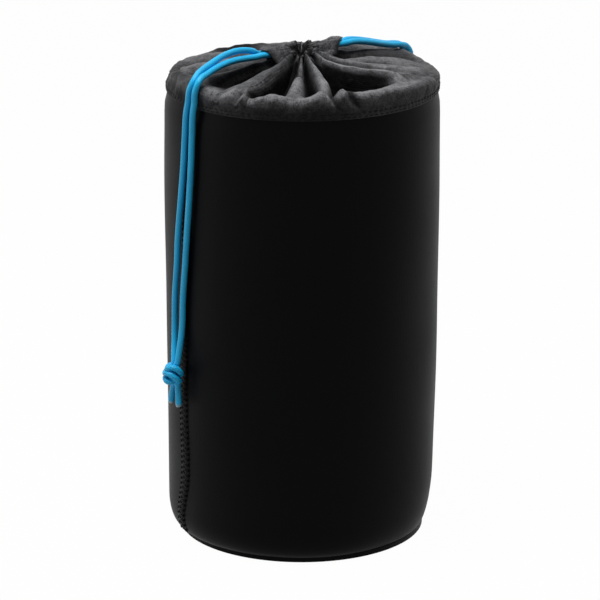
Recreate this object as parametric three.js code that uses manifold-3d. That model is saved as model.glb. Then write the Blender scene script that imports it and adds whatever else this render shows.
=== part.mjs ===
// Drawstring lens pouch: a padded three-ply tube with a sewn-in base, closed by a thin
// collar that two drawcords gather over the mouth. The collar is split along its folds: a
// ring of gores, each folding on the rim, and between them pleats, each folding on its gore
// and tucked below the next one. Lying in they close the mouth, standing up they make the
// open collar.
// Millimetres, +Z up, origin on the floor below the middle of the base. The side seam and
// drawcord A are on -X, drawcord B on +X.
import * as THREE from "three";
import { mergeVertices } from "three/addons/utils/BufferGeometryUtils.js";
import Module from "manifold-3d";

// Padded body
const bodyDiameter = 122; // outside of the knit face
const wallTop = 213; // top edge of the wall above the floor
const knitThickness = 0.6;
const foamThickness = 3;
const liningThickness = 0.6;
const plyGap = 0.1; // glue line between two plies
const cornerReach = 5.2; // how far the wall turns in at its lower edge
const cornerRise = 12; // height of that turn
const baseLift = 3; // lower edge of the wall above the floor
const baseRounding = 3; // rounded edge of the base's outer face
const seamGap = 0.3; // gap between pieces that are sewn or laid together
const bindingWidth = 4.5; // tape over the raw edges of the base seam, inside
const bindingHeight = 4;
const sideSeamWidth = 7.6; // flat cover seam that closes the tube
const sideSeamRise = 0.45;

// Collar
const bandHeight = 8.6; // lower part of the collar, sewn round the outside of the wall
const bandThickness = 0.9;
const goreCount = 12;
const goreThickness = 0.7;
const goreGap = 0.6; // between the edges of neighbouring gores
const tipRadius = 5; // hole left in the middle of the gathers
const collarRise = 4; // gathers above the rim
const crownHeight = 1.5; // roundness of a gather
const shingleStep = 0.75; // how far one edge of a gather lies above, and the other below
const pleatSlope = THREE.MathUtils.degToRad(58); // tucked pleat below its gore's own slope
const pleatThickness = 0.6;
const pleatSpare = THREE.MathUtils.degToRad(2.5); // pleat past the next gore when it stands open
const pleatStart = 8; // distance along the fold, from the rim, where the pleat begins
const pleatHemDip = 4; // far edge of the pleat shorter than its fold

// Drawcords
const cordDiameter = 2.8;
const exitRadius = 20.5; // mouth of the cord exit, from the pouch's axis
const exitLength = 5;
const exitSideways = 1.2;
const exitWall = 0.6;
const exitBoreSpare = 0.4; // bore of the exit over the cord, on the diameter
const strandPitch = 3.8; // between the two strands in the exit
const topCutHeight = 5; // below the wall's top, where a strand's upper length ends
const knotWidth = 9.4;
const knotHeight = 9.8;
const knotTop = 125.2; // below the wall's top
const knotSideways = 1.8;
const knotStandoff = 0.8; // between the knot and the side seam, so that the knot slides clear
const tailLength = 10.2;
const tailSplays = [-3.4, 0.7]; // sideways splay of the left and the right tail
const tailBow = 0.6; // share of its splay that a tail has at its middle

const bodyRadius = bodyDiameter / 2;
const cordRadius = cordDiameter / 2;
const wallThickness = knitThickness + foamThickness + liningThickness + 2 * plyGap;
const roundSides = 48;

const knitBlack = new THREE.MeshStandardMaterial({ color: 0x141416, roughness: 0.75, metalness: 0 });
const foamGrey = new THREE.MeshStandardMaterial({ color: 0x2b2b2d, roughness: 0.95, metalness: 0 });
const liningGrey = new THREE.MeshStandardMaterial({ color: 0x3a3a3e, roughness: 0.95, metalness: 0 });
const nylonBlack = new THREE.MeshStandardMaterial({ color: 0x232226, roughness: 0.6, metalness: 0 });
const threadBlack = new THREE.MeshStandardMaterial({ color: 0x0c0c0d, roughness: 0.55, metalness: 0 });
const cordBlue = new THREE.MeshStandardMaterial({ color: 0x1489c8, roughness: 0.5, metalness: 0 });

const wasm = await Module();
wasm.setup();

function piece(name, geometry, material) {
  const mesh = new THREE.Mesh(geometry, material);
  mesh.name = name;
  return mesh;
}

function turnedGroup(angle, ...children) {
  const group = new THREE.Group();
  group.rotation.z = angle;
  group.add(...children);
  return group;
}

// A geometry of only merged positions, which the boolean joins need.
function bareGeometry(geometry) {
  const bare = geometry.clone();
  bare.deleteAttribute("normal");
  bare.deleteAttribute("uv");
  return mergeVertices(bare, 1e-4);
}

function solidOf(geometry) {
  const bare = bareGeometry(geometry);
  return new wasm.Manifold(
    new wasm.Mesh({
      numProp: 3,
      vertProperties: bare.attributes.position.array,
      triVerts: new Uint32Array(bare.index.array),
    }),
  );
}

function geometryOf(solid) {
  const { vertProperties, triVerts } = solid.getMesh();
  return new THREE.BufferGeometry()
    .setAttribute("position", new THREE.BufferAttribute(vertProperties, 3))
    .setIndex(new THREE.BufferAttribute(triVerts, 1));
}

// Revolves a closed outline of [radius, height] points, listed with the material on the left.
function revolved(outline) {
  const loop = [...outline, outline[0]].map(([radius, height]) => new THREE.Vector2(radius, height));
  return new THREE.LatheGeometry(loop, roundSides).rotateX(Math.PI / 2);
}

// A disc's outline starts and ends on the axis.
function revolvedDisc(outline) {
  const line = outline.map(([radius, height]) => new THREE.Vector2(radius, height));
  return new THREE.LatheGeometry(line, roundSides).rotateX(Math.PI / 2);
}

// A sheet of even thickness round a grid of middle points, rows[i][j].
function sheet(rows, thickness) {
  const lastRow = rows.length - 1;
  const lastColumn = rows[0].length - 1;
  const across = new THREE.Vector3();
  const along = new THREE.Vector3();
  const vertices = [];
  for (const side of [0.5, -0.5]) {
    rows.forEach((row, i) =>
      row.forEach((point, j) => {
        along.subVectors(rows[Math.min(i + 1, lastRow)][j], rows[Math.max(i - 1, 0)][j]);
        across.subVectors(row[Math.min(j + 1, lastColumn)], row[Math.max(j - 1, 0)]);
        const normal = along.clone().cross(across).normalize();
        vertices.push(...point.clone().addScaledVector(normal, side * thickness).toArray());
      }),
    );
  }
  const columns = lastColumn + 1;
  const far = rows.length * columns;
  const index = [];
  const quad = (a, b, c, d) => index.push(a, b, c, a, c, d);
  for (let i = 0; i < lastRow; i++) {
    for (let j = 0; j < lastColumn; j++) {
      const corner = i * columns + j;
      quad(corner, corner + columns, corner + columns + 1, corner + 1);
      quad(far + corner, far + corner + 1, far + corner + columns + 1, far + corner + columns);
    }
  }
  for (let j = 0; j < lastColumn; j++) {
    const end = lastRow * columns + j;
    quad(j, j + 1, far + j + 1, far + j);
    quad(end, far + end, far + end + 1, end + 1);
  }
  for (let i = 0; i < lastRow; i++) {
    const start = i * columns;
    const end = start + lastColumn;
    quad(start, far + start, far + start + columns, start + columns);
    quad(end, end + columns, far + end + columns, far + end);
  }
  return new THREE.BufferGeometry()
    .setAttribute("position", new THREE.Float32BufferAttribute(vertices, 3))
    .setIndex(index);
}

// Body and base

// The wall's line at an inward offset from the knit face, from the lower edge to the top.
function wallLine(offset) {
  const turnSteps = 4;
  const middleRadius = bodyRadius - cornerReach;
  const middleHeight = baseLift + cornerRise;
  const line = [];
  for (let step = 0; step <= turnSteps; step++) {
    const angle = (step / turnSteps) * (Math.PI / 2);
    line.push([
      middleRadius + (cornerReach - offset) * Math.sin(angle),
      middleHeight - (cornerRise - offset) * Math.cos(angle),
    ]);
  }
  line.push([bodyRadius - offset, wallTop]);
  return line;
}

function wallPly(outerOffset, thickness) {
  return revolved([...wallLine(outerOffset), ...wallLine(outerOffset + thickness).reverse()]);
}

const foamOffset = knitThickness + plyGap;
const liningOffset = foamOffset + foamThickness + plyGap;
const baseRadius = bodyRadius - cornerReach - seamGap;

// The base's outer face is rounded at its rim, so it is the only ply that is not a plain disc.
function baseFace() {
  const roundingSteps = 4;
  const line = [[0, 0]];
  for (let step = 0; step <= roundingSteps; step++) {
    const angle = (step / roundingSteps) * (Math.PI / 2);
    line.push([
      baseRadius - baseRounding * (1 - Math.sin(angle)),
      baseRounding * (1 - Math.cos(angle)),
    ]);
  }
  const inside = baseRadius - knitThickness;
  line.push([inside, baseRounding], [inside - baseRounding, knitThickness], [0, knitThickness]);
  return revolvedDisc(line);
}

function basePly(bottom, thickness) {
  const foot = baseRadius - knitThickness - plyGap - baseRounding;
  const top = bottom + thickness;
  const spread = (height) => foot + Math.max(0, Math.min(baseRounding, height - foamOffset));
  return revolvedDisc([
    [0, bottom],
    [spread(bottom), bottom],
    [spread(top), top],
    [0, top],
  ]);
}

// Folded tape over the seam's raw edges: a flat loop of tape with rounded corners.
function baseBinding() {
  const bottom = liningOffset + liningThickness + seamGap;
  const outside = baseRadius - seamGap;
  const inside = outside - bindingWidth;
  const top = bottom + bindingHeight;
  const corner = Math.min(bindingWidth, bindingHeight) / 4;
  return revolved([
    [inside, bottom],
    [outside, bottom],
    [outside, top - corner],
    [outside - corner, top],
    [inside + corner, top],
    [inside, top - corner],
  ]);
}

// The cover seam lies on the knit face and follows it round the lower corner.
function sideSeam() {
  const columns = 5;
  const halfAngle = sideSeamWidth / 2 / bodyRadius;
  const lift = plyGap + sideSeamRise / 2;
  const bandFoot = wallTop - bandHeight - seamGap;
  const line = wallLine(-lift).slice(1);
  line[line.length - 1][1] = bandFoot;
  const rows = line.map(([radius, height]) => {
    const row = [];
    for (let column = 0; column < columns; column++) {
      const angle = Math.PI + halfAngle * ((2 * column) / (columns - 1) - 1);
      row.push(new THREE.Vector3(radius * Math.cos(angle), radius * Math.sin(angle), height));
    }
    return row;
  });
  return sheet(rows, sideSeamRise);
}

// Collar

const bandInside = bodyRadius + plyGap;
const rimRadius = bandInside + bandThickness;
const bandTop = wallTop + bandThickness / 2;
const goreHalfAngle = Math.PI / goreCount;
const hingeRadius = rimRadius * Math.cos(goreHalfAngle);
const hingeHeight = bandTop + seamGap;

function collarBand() {
  const bottom = wallTop - bandHeight;
  const hem = bandThickness / 3;
  return revolved([
    [bandInside, bottom],
    [rimRadius - hem, bottom],
    [rimRadius, bottom + hem],
    [rimRadius, bandTop - hem],
    [rimRadius - hem, bandTop],
    [bandInside, bandTop],
  ]);
}

// Height of a gore's middle line without its crown: its two edges and the fold of its pleat
// lie at an even step above and below this line, so they are straight.
function goreMiddleHeight(radius) {
  const way = (hingeRadius - radius) / (hingeRadius - tipRadius);
  return hingeHeight + goreThickness / 2 + shingleStep + collarRise * way;
}

function goreCrown(radius) {
  return crownHeight * Math.sin((Math.PI * (hingeRadius - radius)) / (hingeRadius - tipRadius));
}

function goreHalfWidth(radius) {
  return radius * Math.tan(goreHalfAngle) - goreGap / 2;
}

// One gore in its own frame, +X outwards: a crowned wedge from the rim to the tip.
function gore() {
  const rowCount = 9;
  const acrossSteps = 6;
  const rows = [];
  for (let i = 0; i < rowCount; i++) {
    const radius = THREE.MathUtils.lerp(hingeRadius - goreThickness, tipRadius, i / (rowCount - 1));
    const row = [];
    for (let j = 0; j <= acrossSteps; j++) {
      const share = (2 * j) / acrossSteps - 1;
      const lift = goreCrown(radius) * (1 - share * share) - shingleStep * share;
      row.push(
        new THREE.Vector3(radius, share * goreHalfWidth(radius), goreMiddleHeight(radius) + lift),
      );
    }
    rows.push(row);
  }
  return sheet(rows, goreThickness);
}

// The fold between a gore and its pleat, from the rim to the tip.
function foldPoint(radius) {
  return new THREE.Vector3(radius, goreHalfWidth(radius), goreMiddleHeight(radius) - shingleStep);
}

// The pleat in its gore's frame: a flat wedge of cloth as long as the gore on both edges, so
// that it fills the opening between two gores that stand up, and tucked below the next one.
function pleat() {
  const rim = foldPoint(hingeRadius);
  const along = foldPoint(tipRadius).sub(rim);
  const length = along.length();
  along.normalize();
  const level = new THREE.Vector3(0, 0, 1).cross(along).negate().normalize();
  const below = along.clone().cross(level).normalize();
  const tuck = level
    .clone()
    .multiplyScalar(Math.cos(pleatSlope))
    .addScaledVector(below, Math.sin(pleatSlope));
  const openChord = Math.sin(goreHalfAngle) * Math.cos(goreHalfAngle);
  const wedge = 2 * Math.asin(openChord) + pleatSpare;
  const clear = goreThickness / 2 + pleatThickness / 4;
  const onPleat = (run, reach) => rim.clone().addScaledVector(along, run).addScaledVector(tuck, reach);
  const acrossSteps = 3;
  const rows = [];
  for (let i = 0; i <= 4; i++) {
    const row = [];
    for (let j = 0; j <= acrossSteps; j++) {
      const turn = (wedge * j) / acrossSteps;
      const hem = length - (pleatHemDip * j) / acrossSteps;
      const run = THREE.MathUtils.lerp(pleatStart, hem, i / 4);
      row.push(onPleat(run * Math.cos(turn), clear + run * Math.sin(turn)));
    }
    rows.push(row);
  }
  return sheet(rows, pleatThickness);
}

// Stitched mouth of the cord channel: a hood with a bore for each strand, on top of its gore.
const exitBoreRadius = (cordDiameter + exitBoreSpare) / 2;
const exitWidth = strandPitch + 2 * (exitBoreRadius + exitWall);
const exitHeight = 2 * (exitBoreRadius + exitWall);
const exitSeat =
  goreMiddleHeight(exitRadius - exitLength) + crownHeight + goreThickness / 2 + seamGap;
const exitMiddle = exitSeat + exitHeight / 2;

function cordExit() {
  const half = exitWidth / 2;
  const round = exitHeight / 2;
  const outline = new THREE.Shape();
  outline.moveTo(-half, 0);
  outline.lineTo(half, 0);
  outline.lineTo(half, round);
  outline.absarc(half - round, round, round, 0, Math.PI / 2, false);
  outline.absarc(round - half, round, round, Math.PI / 2, Math.PI, false);
  for (const side of [-1, 1]) {
    const bore = new THREE.Path();
    bore.absarc((side * strandPitch) / 2, round, exitBoreRadius, 0, 2 * Math.PI, true);
    outline.holes.push(bore);
  }
  const hood = new THREE.ExtrudeGeometry(outline, {
    depth: exitLength,
    bevelEnabled: false,
    curveSegments: 5,
  });
  hood.rotateY(Math.PI / 2).rotateX(Math.PI / 2);
  return hood.translate(exitRadius - exitLength, exitSideways, exitSeat);
}

// Drawcords, in a frame with +X outwards over the cord's exit and +Y sideways

// The upper length of each strand, from the exit to the rim: share of the way from the
// exit's mouth to the rim, sideways place, and height above the wall's top.
const topRoutes = {
  a: [
    [
      [0.1, 0.1, 11],
      [0.22, 0.9, 12.2],
      [0.35, 2, 12.5],
      [0.46, 3.4, 12.1],
      [0.56, 4.9, 11.4],
      [0.67, 6.8, 10.3],
      [0.78, 8.7, 9],
      [0.88, 10.3, 7.5],
    ],
    [
      [0.1, 3.2, 9.1],
      [0.22, 3.7, 9.2],
      [0.35, 4.7, 9.3],
      [0.48, 6.2, 9.1],
      [0.6, 8.2, 8.6],
      [0.71, 10.3, 7.9],
      [0.81, 12.3, 6.9],
      [0.9, 14.2, 5.8],
    ],
  ],
  b: [
    [
      [0.18, 0.7, 9.3],
      [0.37, 2.7, 8.1],
      [0.57, 5.3, 6.5],
      [0.74, 7.5, 5.2],
      [0.88, 9, 4.4],
    ],
    [
      [0.12, 3.4, 9.8],
      [0.26, 4.7, 9.1],
      [0.41, 6.6, 7.9],
      [0.57, 8.8, 6.5],
      [0.72, 11, 5.2],
      [0.86, 13, 4.4],
    ],
  ],
};
// How high each cord's middle passes over the rim, then each strand's sideways place over the rim,
// at the band's top, where the upper length ends, and below the band.
const rimRises = { a: 2 * cordDiameter - cordRadius, b: cordDiameter };
const rimCrossings = {
  a: [
    [12, 11.2, 10.1, 8.9],
    [15.9, 15, 14.2, 13.4],
  ],
  b: [
    [10, 10, 10, 10],
    [14.2, 14.2, 14.2, 14.2],
  ],
};
// The hanging length of each strand: sideways place at heights below the wall's top.
const dropRoutes = {
  a: [
    [
      [20, 7.5],
      [35, 5.9],
      [50, 3.7],
      [68.6, 0.7],
      [80.3, -0.4],
      [97, -2.8],
      [112, -3.5],
    ],
    [
      [19, 12.5],
      [34, 11.5],
      [48.6, 10.1],
      [66.8, 8],
      [78.5, 6.7],
      [94.7, 4.6],
      [110, 3.4],
    ],
  ],
  b: [
    [
      [20, 7.3],
      [35, 5.5],
      [50, 3.4],
      [68.6, 0.6],
      [80.3, -0.4],
      [97, -2.8],
      [112, -3.5],
    ],
    [
      [19, 11.8],
      [34, 10.8],
      [48.6, 9.7],
      [66.8, 7.8],
      [78.5, 6.6],
      [94.7, 4.6],
      [110, 3.4],
    ],
  ],
};

const rimStandoff = rimRadius + seamGap + cordRadius;
const wallStandoff = bodyRadius + plyGap + sideSeamRise + seamGap + cordRadius;
const knotRadius =
  bodyRadius + plyGap + sideSeamRise + knotStandoff + knotWidth / 2;

// A point at a distance from the axis, a sideways place along the round wall, and a height.
function onWall(radius, sideways, height) {
  const angle = sideways / radius;
  return new THREE.Vector3(radius * Math.cos(angle), radius * Math.sin(angle), height);
}

function cordAlong(points, steps) {
  const sides = 8;
  const section = new THREE.Shape();
  for (let side = 0; side < sides; side++) {
    const angle = (side / sides) * 2 * Math.PI;
    const corner = [cordRadius * Math.cos(angle), cordRadius * Math.sin(angle)];
    if (side === 0) section.moveTo(...corner);
    else section.lineTo(...corner);
  }
  section.closePath();
  return new THREE.ExtrudeGeometry(section, {
    steps,
    extrudePath: new THREE.CatmullRomCurve3(points, false, "centripetal"),
    bevelEnabled: false,
  });
}

function topLength(letter, strand) {
  const boreSideways = exitSideways + (strand - 0.5) * strandPitch;
  const insideExit = exitRadius - exitLength * 0.7;
  const points = [
    new THREE.Vector3(insideExit, boreSideways, exitMiddle),
    new THREE.Vector3(exitRadius + cordRadius, boreSideways, exitMiddle),
  ];
  for (const [share, sideways, above] of topRoutes[letter][strand]) {
    const reach = exitRadius + share * (rimRadius - exitRadius);
    points.push(new THREE.Vector3(reach, sideways, wallTop + above));
  }
  const [overRim, atBandTop, atEnd] = rimCrossings[letter][strand];
  points.push(
    onWall(rimRadius, overRim, bandTop + rimRises[letter]),
    onWall(rimStandoff, atBandTop, bandTop),
    onWall(rimStandoff, atEnd, wallTop - topCutHeight),
  );
  return cordAlong(points, 15);
}

function dropLength(letter, strand) {
  const [, , atStart, belowBand] = rimCrossings[letter][strand];
  const knotEntry = wallTop - knotTop + seamGap;
  const points = [
    onWall(rimStandoff, atStart, wallTop - topCutHeight - seamGap),
    onWall(rimStandoff, belowBand, wallTop - bandHeight - 2),
  ];
  for (const [below, sideways] of dropRoutes[letter][strand]) {
    points.push(onWall(wallStandoff, sideways, wallTop - below));
  }
  const inKnot = knotSideways + (strand - 0.5) * (cordDiameter + seamGap);
  points.push(onWall(knotRadius - cordRadius, inKnot, knotEntry));
  return cordAlong(points, 18);
}

function tail(strand) {
  const start = wallTop - knotTop - knotHeight - seamGap;
  const reach = knotRadius - cordRadius;
  const nearKnot = knotSideways + (strand - 0.5) * (cordDiameter + seamGap);
  const splay = tailSplays[strand];
  const points = [
    onWall(reach, nearKnot, start),
    onWall(reach, nearKnot + splay * tailBow, start - tailLength / 2),
    onWall(reach, nearKnot + splay, start - tailLength),
  ];
  return cordAlong(points, 4);
}

// Overhand knot pulled tight: three turns of cord round a core.
function knot() {
  const turn = knotWidth / 2 - cordRadius;
  const wrap = new THREE.TorusGeometry(turn, cordRadius, 7, 14);
  const tilts = [
    [0.6, 0.35],
    [-0.65, -0.3],
    [Math.PI / 2, 0.8],
  ];
  let solid = solidOf(new THREE.SphereGeometry(turn, 10, 7));
  for (const [lean, twist] of tilts) {
    solid = solid.add(solidOf(wrap.clone().rotateX(lean).rotateY(twist)));
  }
  const stretched = geometryOf(solid);
  stretched.computeBoundingBox();
  const size = stretched.boundingBox.getSize(new THREE.Vector3());
  const middle = stretched.boundingBox.getCenter(new THREE.Vector3());
  stretched.translate(-middle.x, -middle.y, -middle.z);
  stretched.scale(knotWidth / size.x, knotWidth / size.y, knotHeight / size.z);
  const place = onWall(knotRadius, knotSideways, wallTop - knotTop - knotHeight / 2);
  return stretched.translate(place.x, place.y, place.z);
}

function drawcord(letter, angle) {
  return turnedGroup(
    angle,
    piece(`cord_exit_${letter}`, cordExit(), nylonBlack),
    piece(`drawcord_${letter}_left_top`, topLength(letter, 0), cordBlue),
    piece(`drawcord_${letter}_right_top`, topLength(letter, 1), cordBlue),
    piece(`drawcord_${letter}_left_drop`, dropLength(letter, 0), cordBlue),
    piece(`drawcord_${letter}_right_drop`, dropLength(letter, 1), cordBlue),
    piece(`drawcord_${letter}_knot`, knot(), cordBlue),
    piece(`drawcord_${letter}_left_tail`, tail(0), cordBlue),
    piece(`drawcord_${letter}_right_tail`, tail(1), cordBlue),
  );
}

const pouch = new THREE.Group();
pouch.add(
  piece("body_outer_knit", wallPly(0, knitThickness), knitBlack),
  piece("body_foam_core", wallPly(foamOffset, foamThickness), foamGrey),
  piece("body_lining", wallPly(liningOffset, liningThickness), liningGrey),
  piece("base_outer_knit", baseFace(), knitBlack),
  piece("base_foam_core", basePly(foamOffset, foamThickness), foamGrey),
  piece("base_lining", basePly(liningOffset, liningThickness), liningGrey),
  piece("base_seam_binding", baseBinding(), nylonBlack),
  piece("side_seam", sideSeam(), threadBlack),
  piece("collar_band", collarBand(), nylonBlack),
);
for (let i = 0; i < goreCount; i++) {
  const number = String(i + 1).padStart(2, "0");
  pouch.add(
    turnedGroup(
      2 * goreHalfAngle * i,
      piece(`collar_gore_${number}`, gore(), nylonBlack),
      piece(`collar_pleat_${number}`, pleat(), nylonBlack),
    ),
  );
}
pouch.add(drawcord("a", Math.PI), drawcord("b", 0));

export default pouch;
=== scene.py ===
import math
import bpy
from mathutils import Matrix, Vector, noise


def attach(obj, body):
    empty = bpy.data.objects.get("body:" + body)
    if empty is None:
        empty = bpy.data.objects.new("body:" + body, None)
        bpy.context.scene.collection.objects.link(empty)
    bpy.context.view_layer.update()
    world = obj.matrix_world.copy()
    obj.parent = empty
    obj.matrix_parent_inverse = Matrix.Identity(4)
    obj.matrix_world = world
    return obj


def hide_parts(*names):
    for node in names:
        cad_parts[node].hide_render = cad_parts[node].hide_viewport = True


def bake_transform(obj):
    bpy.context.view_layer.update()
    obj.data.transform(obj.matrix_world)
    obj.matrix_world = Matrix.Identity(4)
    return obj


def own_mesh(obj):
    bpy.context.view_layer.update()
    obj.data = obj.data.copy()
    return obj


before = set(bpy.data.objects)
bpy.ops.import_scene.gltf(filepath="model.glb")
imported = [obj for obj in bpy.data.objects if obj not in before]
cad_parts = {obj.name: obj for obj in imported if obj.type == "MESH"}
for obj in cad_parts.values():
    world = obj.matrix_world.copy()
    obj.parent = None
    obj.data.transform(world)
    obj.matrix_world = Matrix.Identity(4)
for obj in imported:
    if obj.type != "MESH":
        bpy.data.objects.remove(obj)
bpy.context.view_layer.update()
scene = bpy.context.scene
scene.view_settings.view_transform = "Standard"
mm = 0.001


def clearSelection():
    if bpy.context.object and bpy.context.object.mode != "OBJECT":
        bpy.ops.object.mode_set(mode="OBJECT")
    bpy.ops.object.select_all(action="DESELECT")


def pick(piece):
    clearSelection()
    piece.select_set(True)
    bpy.context.view_layer.objects.active = piece


def smoothStep(low, high, value):
    share = min(1.0, max(0.0, (value - low) / (high - low)))
    return share * share * (3 - 2 * share)


def window(rise, fall, value):
    # 0 before the rise, 1 from there to the fall and 0 beyond it
    return smoothStep(*rise, value) * (1 - smoothStep(*fall, value))


def readTable(table, place):
    # smooth line through a short table of (place, value)
    if place <= table[0][0]:
        return table[0][1]
    if place >= table[-1][0]:
        return table[-1][1]
    i = 0
    while place > table[i + 1][0]:
        i += 1

    def slope(k):
        low, high = max(0, k - 1), min(len(table) - 1, k + 1)
        return (table[high][1] - table[low][1]) / (table[high][0] - table[low][0])

    (x0, y0), (x1, y1) = table[i], table[i + 1]
    span = x1 - x0
    t = (place - x0) / span
    bend0, bend1 = slope(i) * span, slope(i + 1) * span
    return (
        y0 * (2 * t**3 - 3 * t**2 + 1)
        + bend0 * (t**3 - 2 * t**2 + t)
        + y1 * (3 * t**2 - 2 * t**3)
        + bend1 * (t**3 - t**2)
    )


def aroundTo(angle, middle):
    # the same angle within half a turn of middle
    return middle + (angle - middle + 180) % 360 - 180


def spotAt(radius, angle, height):
    turn = math.radians(angle)
    return Vector((radius * math.cos(turn), radius * math.sin(turn), height))


# camera at the photograph's angle, about 1.6 m away with a long lens
cameraPlace = {
    "distance": 1.6,
    "azimuth": -30.0,
    "elevation": 17.3,
    "target": (0, 0, 0.105),
    "lens": 212.4,
    "sensor": 36,
    "shift": (-1.6, 2.0),  # in pixels
    "frame": 600,
    "nearest": 0.05,
}


def placeCamera(place):
    turn, rise = math.radians(place["azimuth"]), math.radians(place["elevation"])
    away = Vector((math.sin(turn) * math.cos(rise), -math.cos(turn) * math.cos(rise), math.sin(rise)))
    clearSelection()
    bpy.ops.object.camera_add(location=Vector(place["target"]) + away * place["distance"])
    camera = bpy.context.object
    camera.name = "studioCamera"
    camera.rotation_euler = (-away).to_track_quat("-Z", "Y").to_euler()
    camera.data.lens = place["lens"]
    camera.data.sensor_width = place["sensor"]
    camera.data.shift_x = place["shift"][0] / place["frame"]
    camera.data.shift_y = place["shift"][1] / place["frame"]
    camera.data.clip_start = place["nearest"]
    scene.camera = camera


placeCamera(cameraPlace)
print("camera placed")


# node groups that several finishes share


def newGroup(name, settings, outputs):
    group = bpy.data.node_groups.new(name, "ShaderNodeTree")
    group.interface.new_socket("Vector", in_out="INPUT", socket_type="NodeSocketVector")
    for label, start in settings.items():
        socket = group.interface.new_socket(label, in_out="INPUT", socket_type="NodeSocketFloat")
        socket.default_value = start
    for label in outputs:
        group.interface.new_socket(label, in_out="OUTPUT", socket_type="NodeSocketFloat")
    return group, group.nodes.new("NodeGroupInput"), group.nodes.new("NodeGroupOutput")


def mathNode(tree, operation, first, second=None, third=None):
    node = tree.nodes.new("ShaderNodeMath")
    node.operation = operation
    for socket, value in zip(node.inputs, (first, second, third)):
        if value is None:
            continue
        if isinstance(value, (int, float)):
            socket.default_value = value
        else:
            tree.links.new(value, socket)
    return node.outputs[0]


def ribsOf(tree, value):
    # one rounded rib for each whole step of the value
    return mathNode(tree, "ABSOLUTE", mathNode(tree, "SINE", mathNode(tree, "MULTIPLY", value, math.pi)))


def layered(tree, layers):
    # the sum of some values, each by its weight
    total = 0.0
    for value, weight in layers:
        total = mathNode(tree, "MULTIPLY_ADD", value, weight, total)
    return total


def clothAxes(group, start, scale):
    # across and along the cloth, counted in threads or loops
    split = group.nodes.new("ShaderNodeSeparateXYZ")
    group.links.new(start.outputs["Vector"], split.inputs[0])
    return [mathNode(group, "MULTIPLY", split.outputs[axis], start.outputs[scale]) for axis in ("X", "Y")]


def makeWeaveGroup():
    # plain weave: threads pass over and under each other, with a thicker thread every few
    group, start, end = newGroup("plainWeave", {"Threads": 20.0, "Heavy": 8.0}, ["Height", "Shade"])
    across, along = clothAxes(group, start, "Threads")
    column, row = mathNode(group, "FLOOR", across), mathNode(group, "FLOOR", along)
    odd = mathNode(group, "FLOORED_MODULO", mathNode(group, "ADD", column, row), 2.0)
    even = mathNode(group, "SUBTRACT", 1.0, odd)
    threads = []
    for line, over in ((across, odd), (along, even)):
        raised = mathNode(group, "MULTIPLY_ADD", over, 0.5, 0.5)
        threads.append(mathNode(group, "MULTIPLY", ribsOf(group, line), raised))
    cloth = mathNode(group, "MAXIMUM", *threads)
    thick = []
    for line in (column, row):
        place = mathNode(group, "FLOORED_MODULO", line, start.outputs["Heavy"])
        thick.append(mathNode(group, "LESS_THAN", place, 0.5))
    heavy = mathNode(group, "MAXIMUM", *thick)
    for label, weight in (("Height", 0.35), ("Shade", 0.12)):
        group.links.new(mathNode(group, "MULTIPLY_ADD", heavy, weight, cloth), end.inputs[label])
    return group


def makeKnitGroup():
    # jersey face: columns of small leaning loops
    group, start, end = newGroup("jerseyLoops", {"Columns": 10.0}, ["Height"])
    across, along = clothAxes(group, start, "Columns")
    side = mathNode(group, "PINGPONG", across, 0.5)
    loop = ribsOf(group, layered(group, [(side, 1.6), (along, 1.3)]))
    column = mathNode(group, "POWER", ribsOf(group, across), 0.5)
    group.links.new(mathNode(group, "MULTIPLY", loop, column), end.inputs["Height"])
    return group


def makeMottleGroup():
    # slow and fine unevenness of handled cloth
    group, start, end = newGroup("handledCloth", {"Slow": 30.0, "Fine": 900.0}, ["Slow", "Fine"])
    for label, detail in (("Slow", 3.0), ("Fine", 2.0)):
        cloud = group.nodes.new("ShaderNodeTexNoise")
        cloud.inputs["Detail"].default_value = detail
        group.links.new(start.outputs["Vector"], cloud.inputs["Vector"])
        group.links.new(start.outputs[label], cloud.inputs["Scale"])
        group.links.new(cloud.outputs["Fac"], end.inputs[label])
    return group


weaveGroup = makeWeaveGroup()
knitGroup = makeKnitGroup()
mottleGroup = makeMottleGroup()


def newFinish(name, look):
    finish = bpy.data.materials.new(name)
    finish.use_nodes = True
    tree = finish.node_tree
    surface = tree.nodes["Principled BSDF"]
    surface.inputs["Roughness"].default_value = look["rough"]
    surface.inputs["Specular IOR Level"].default_value = look["specular"]
    return finish, tree, surface, tree.nodes.new("ShaderNodeTexCoord")


def useGroup(tree, group, vector, **values):
    node = tree.nodes.new("ShaderNodeGroup")
    node.node_tree = group
    tree.links.new(vector, node.inputs["Vector"])
    for label, value in values.items():
        node.inputs[label].default_value = value
    return node


def handled(tree, places, look):
    return useGroup(tree, mottleGroup, places.outputs["Object"], Slow=look["slow"], Fine=look["fine"])


def paint(tree, surface, shade, look):
    # base colour between the look's dark and light
    blend = tree.nodes.new("ShaderNodeMix")
    blend.data_type = "RGBA"
    tree.links.new(shade, blend.inputs["Factor"])
    blend.inputs["A"].default_value = (*look["dark"], 1)
    blend.inputs["B"].default_value = (*look["light"], 1)
    tree.links.new(blend.outputs["Result"], surface.inputs["Base Color"])


def emboss(tree, surface, height, look):
    strength, distance = look["bump"]
    bump = tree.nodes.new("ShaderNodeBump")
    bump.inputs["Strength"].default_value = strength
    bump.inputs["Distance"].default_value = distance
    tree.links.new(height, bump.inputs["Height"])
    tree.links.new(bump.outputs["Normal"], surface.inputs["Normal"])


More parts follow.
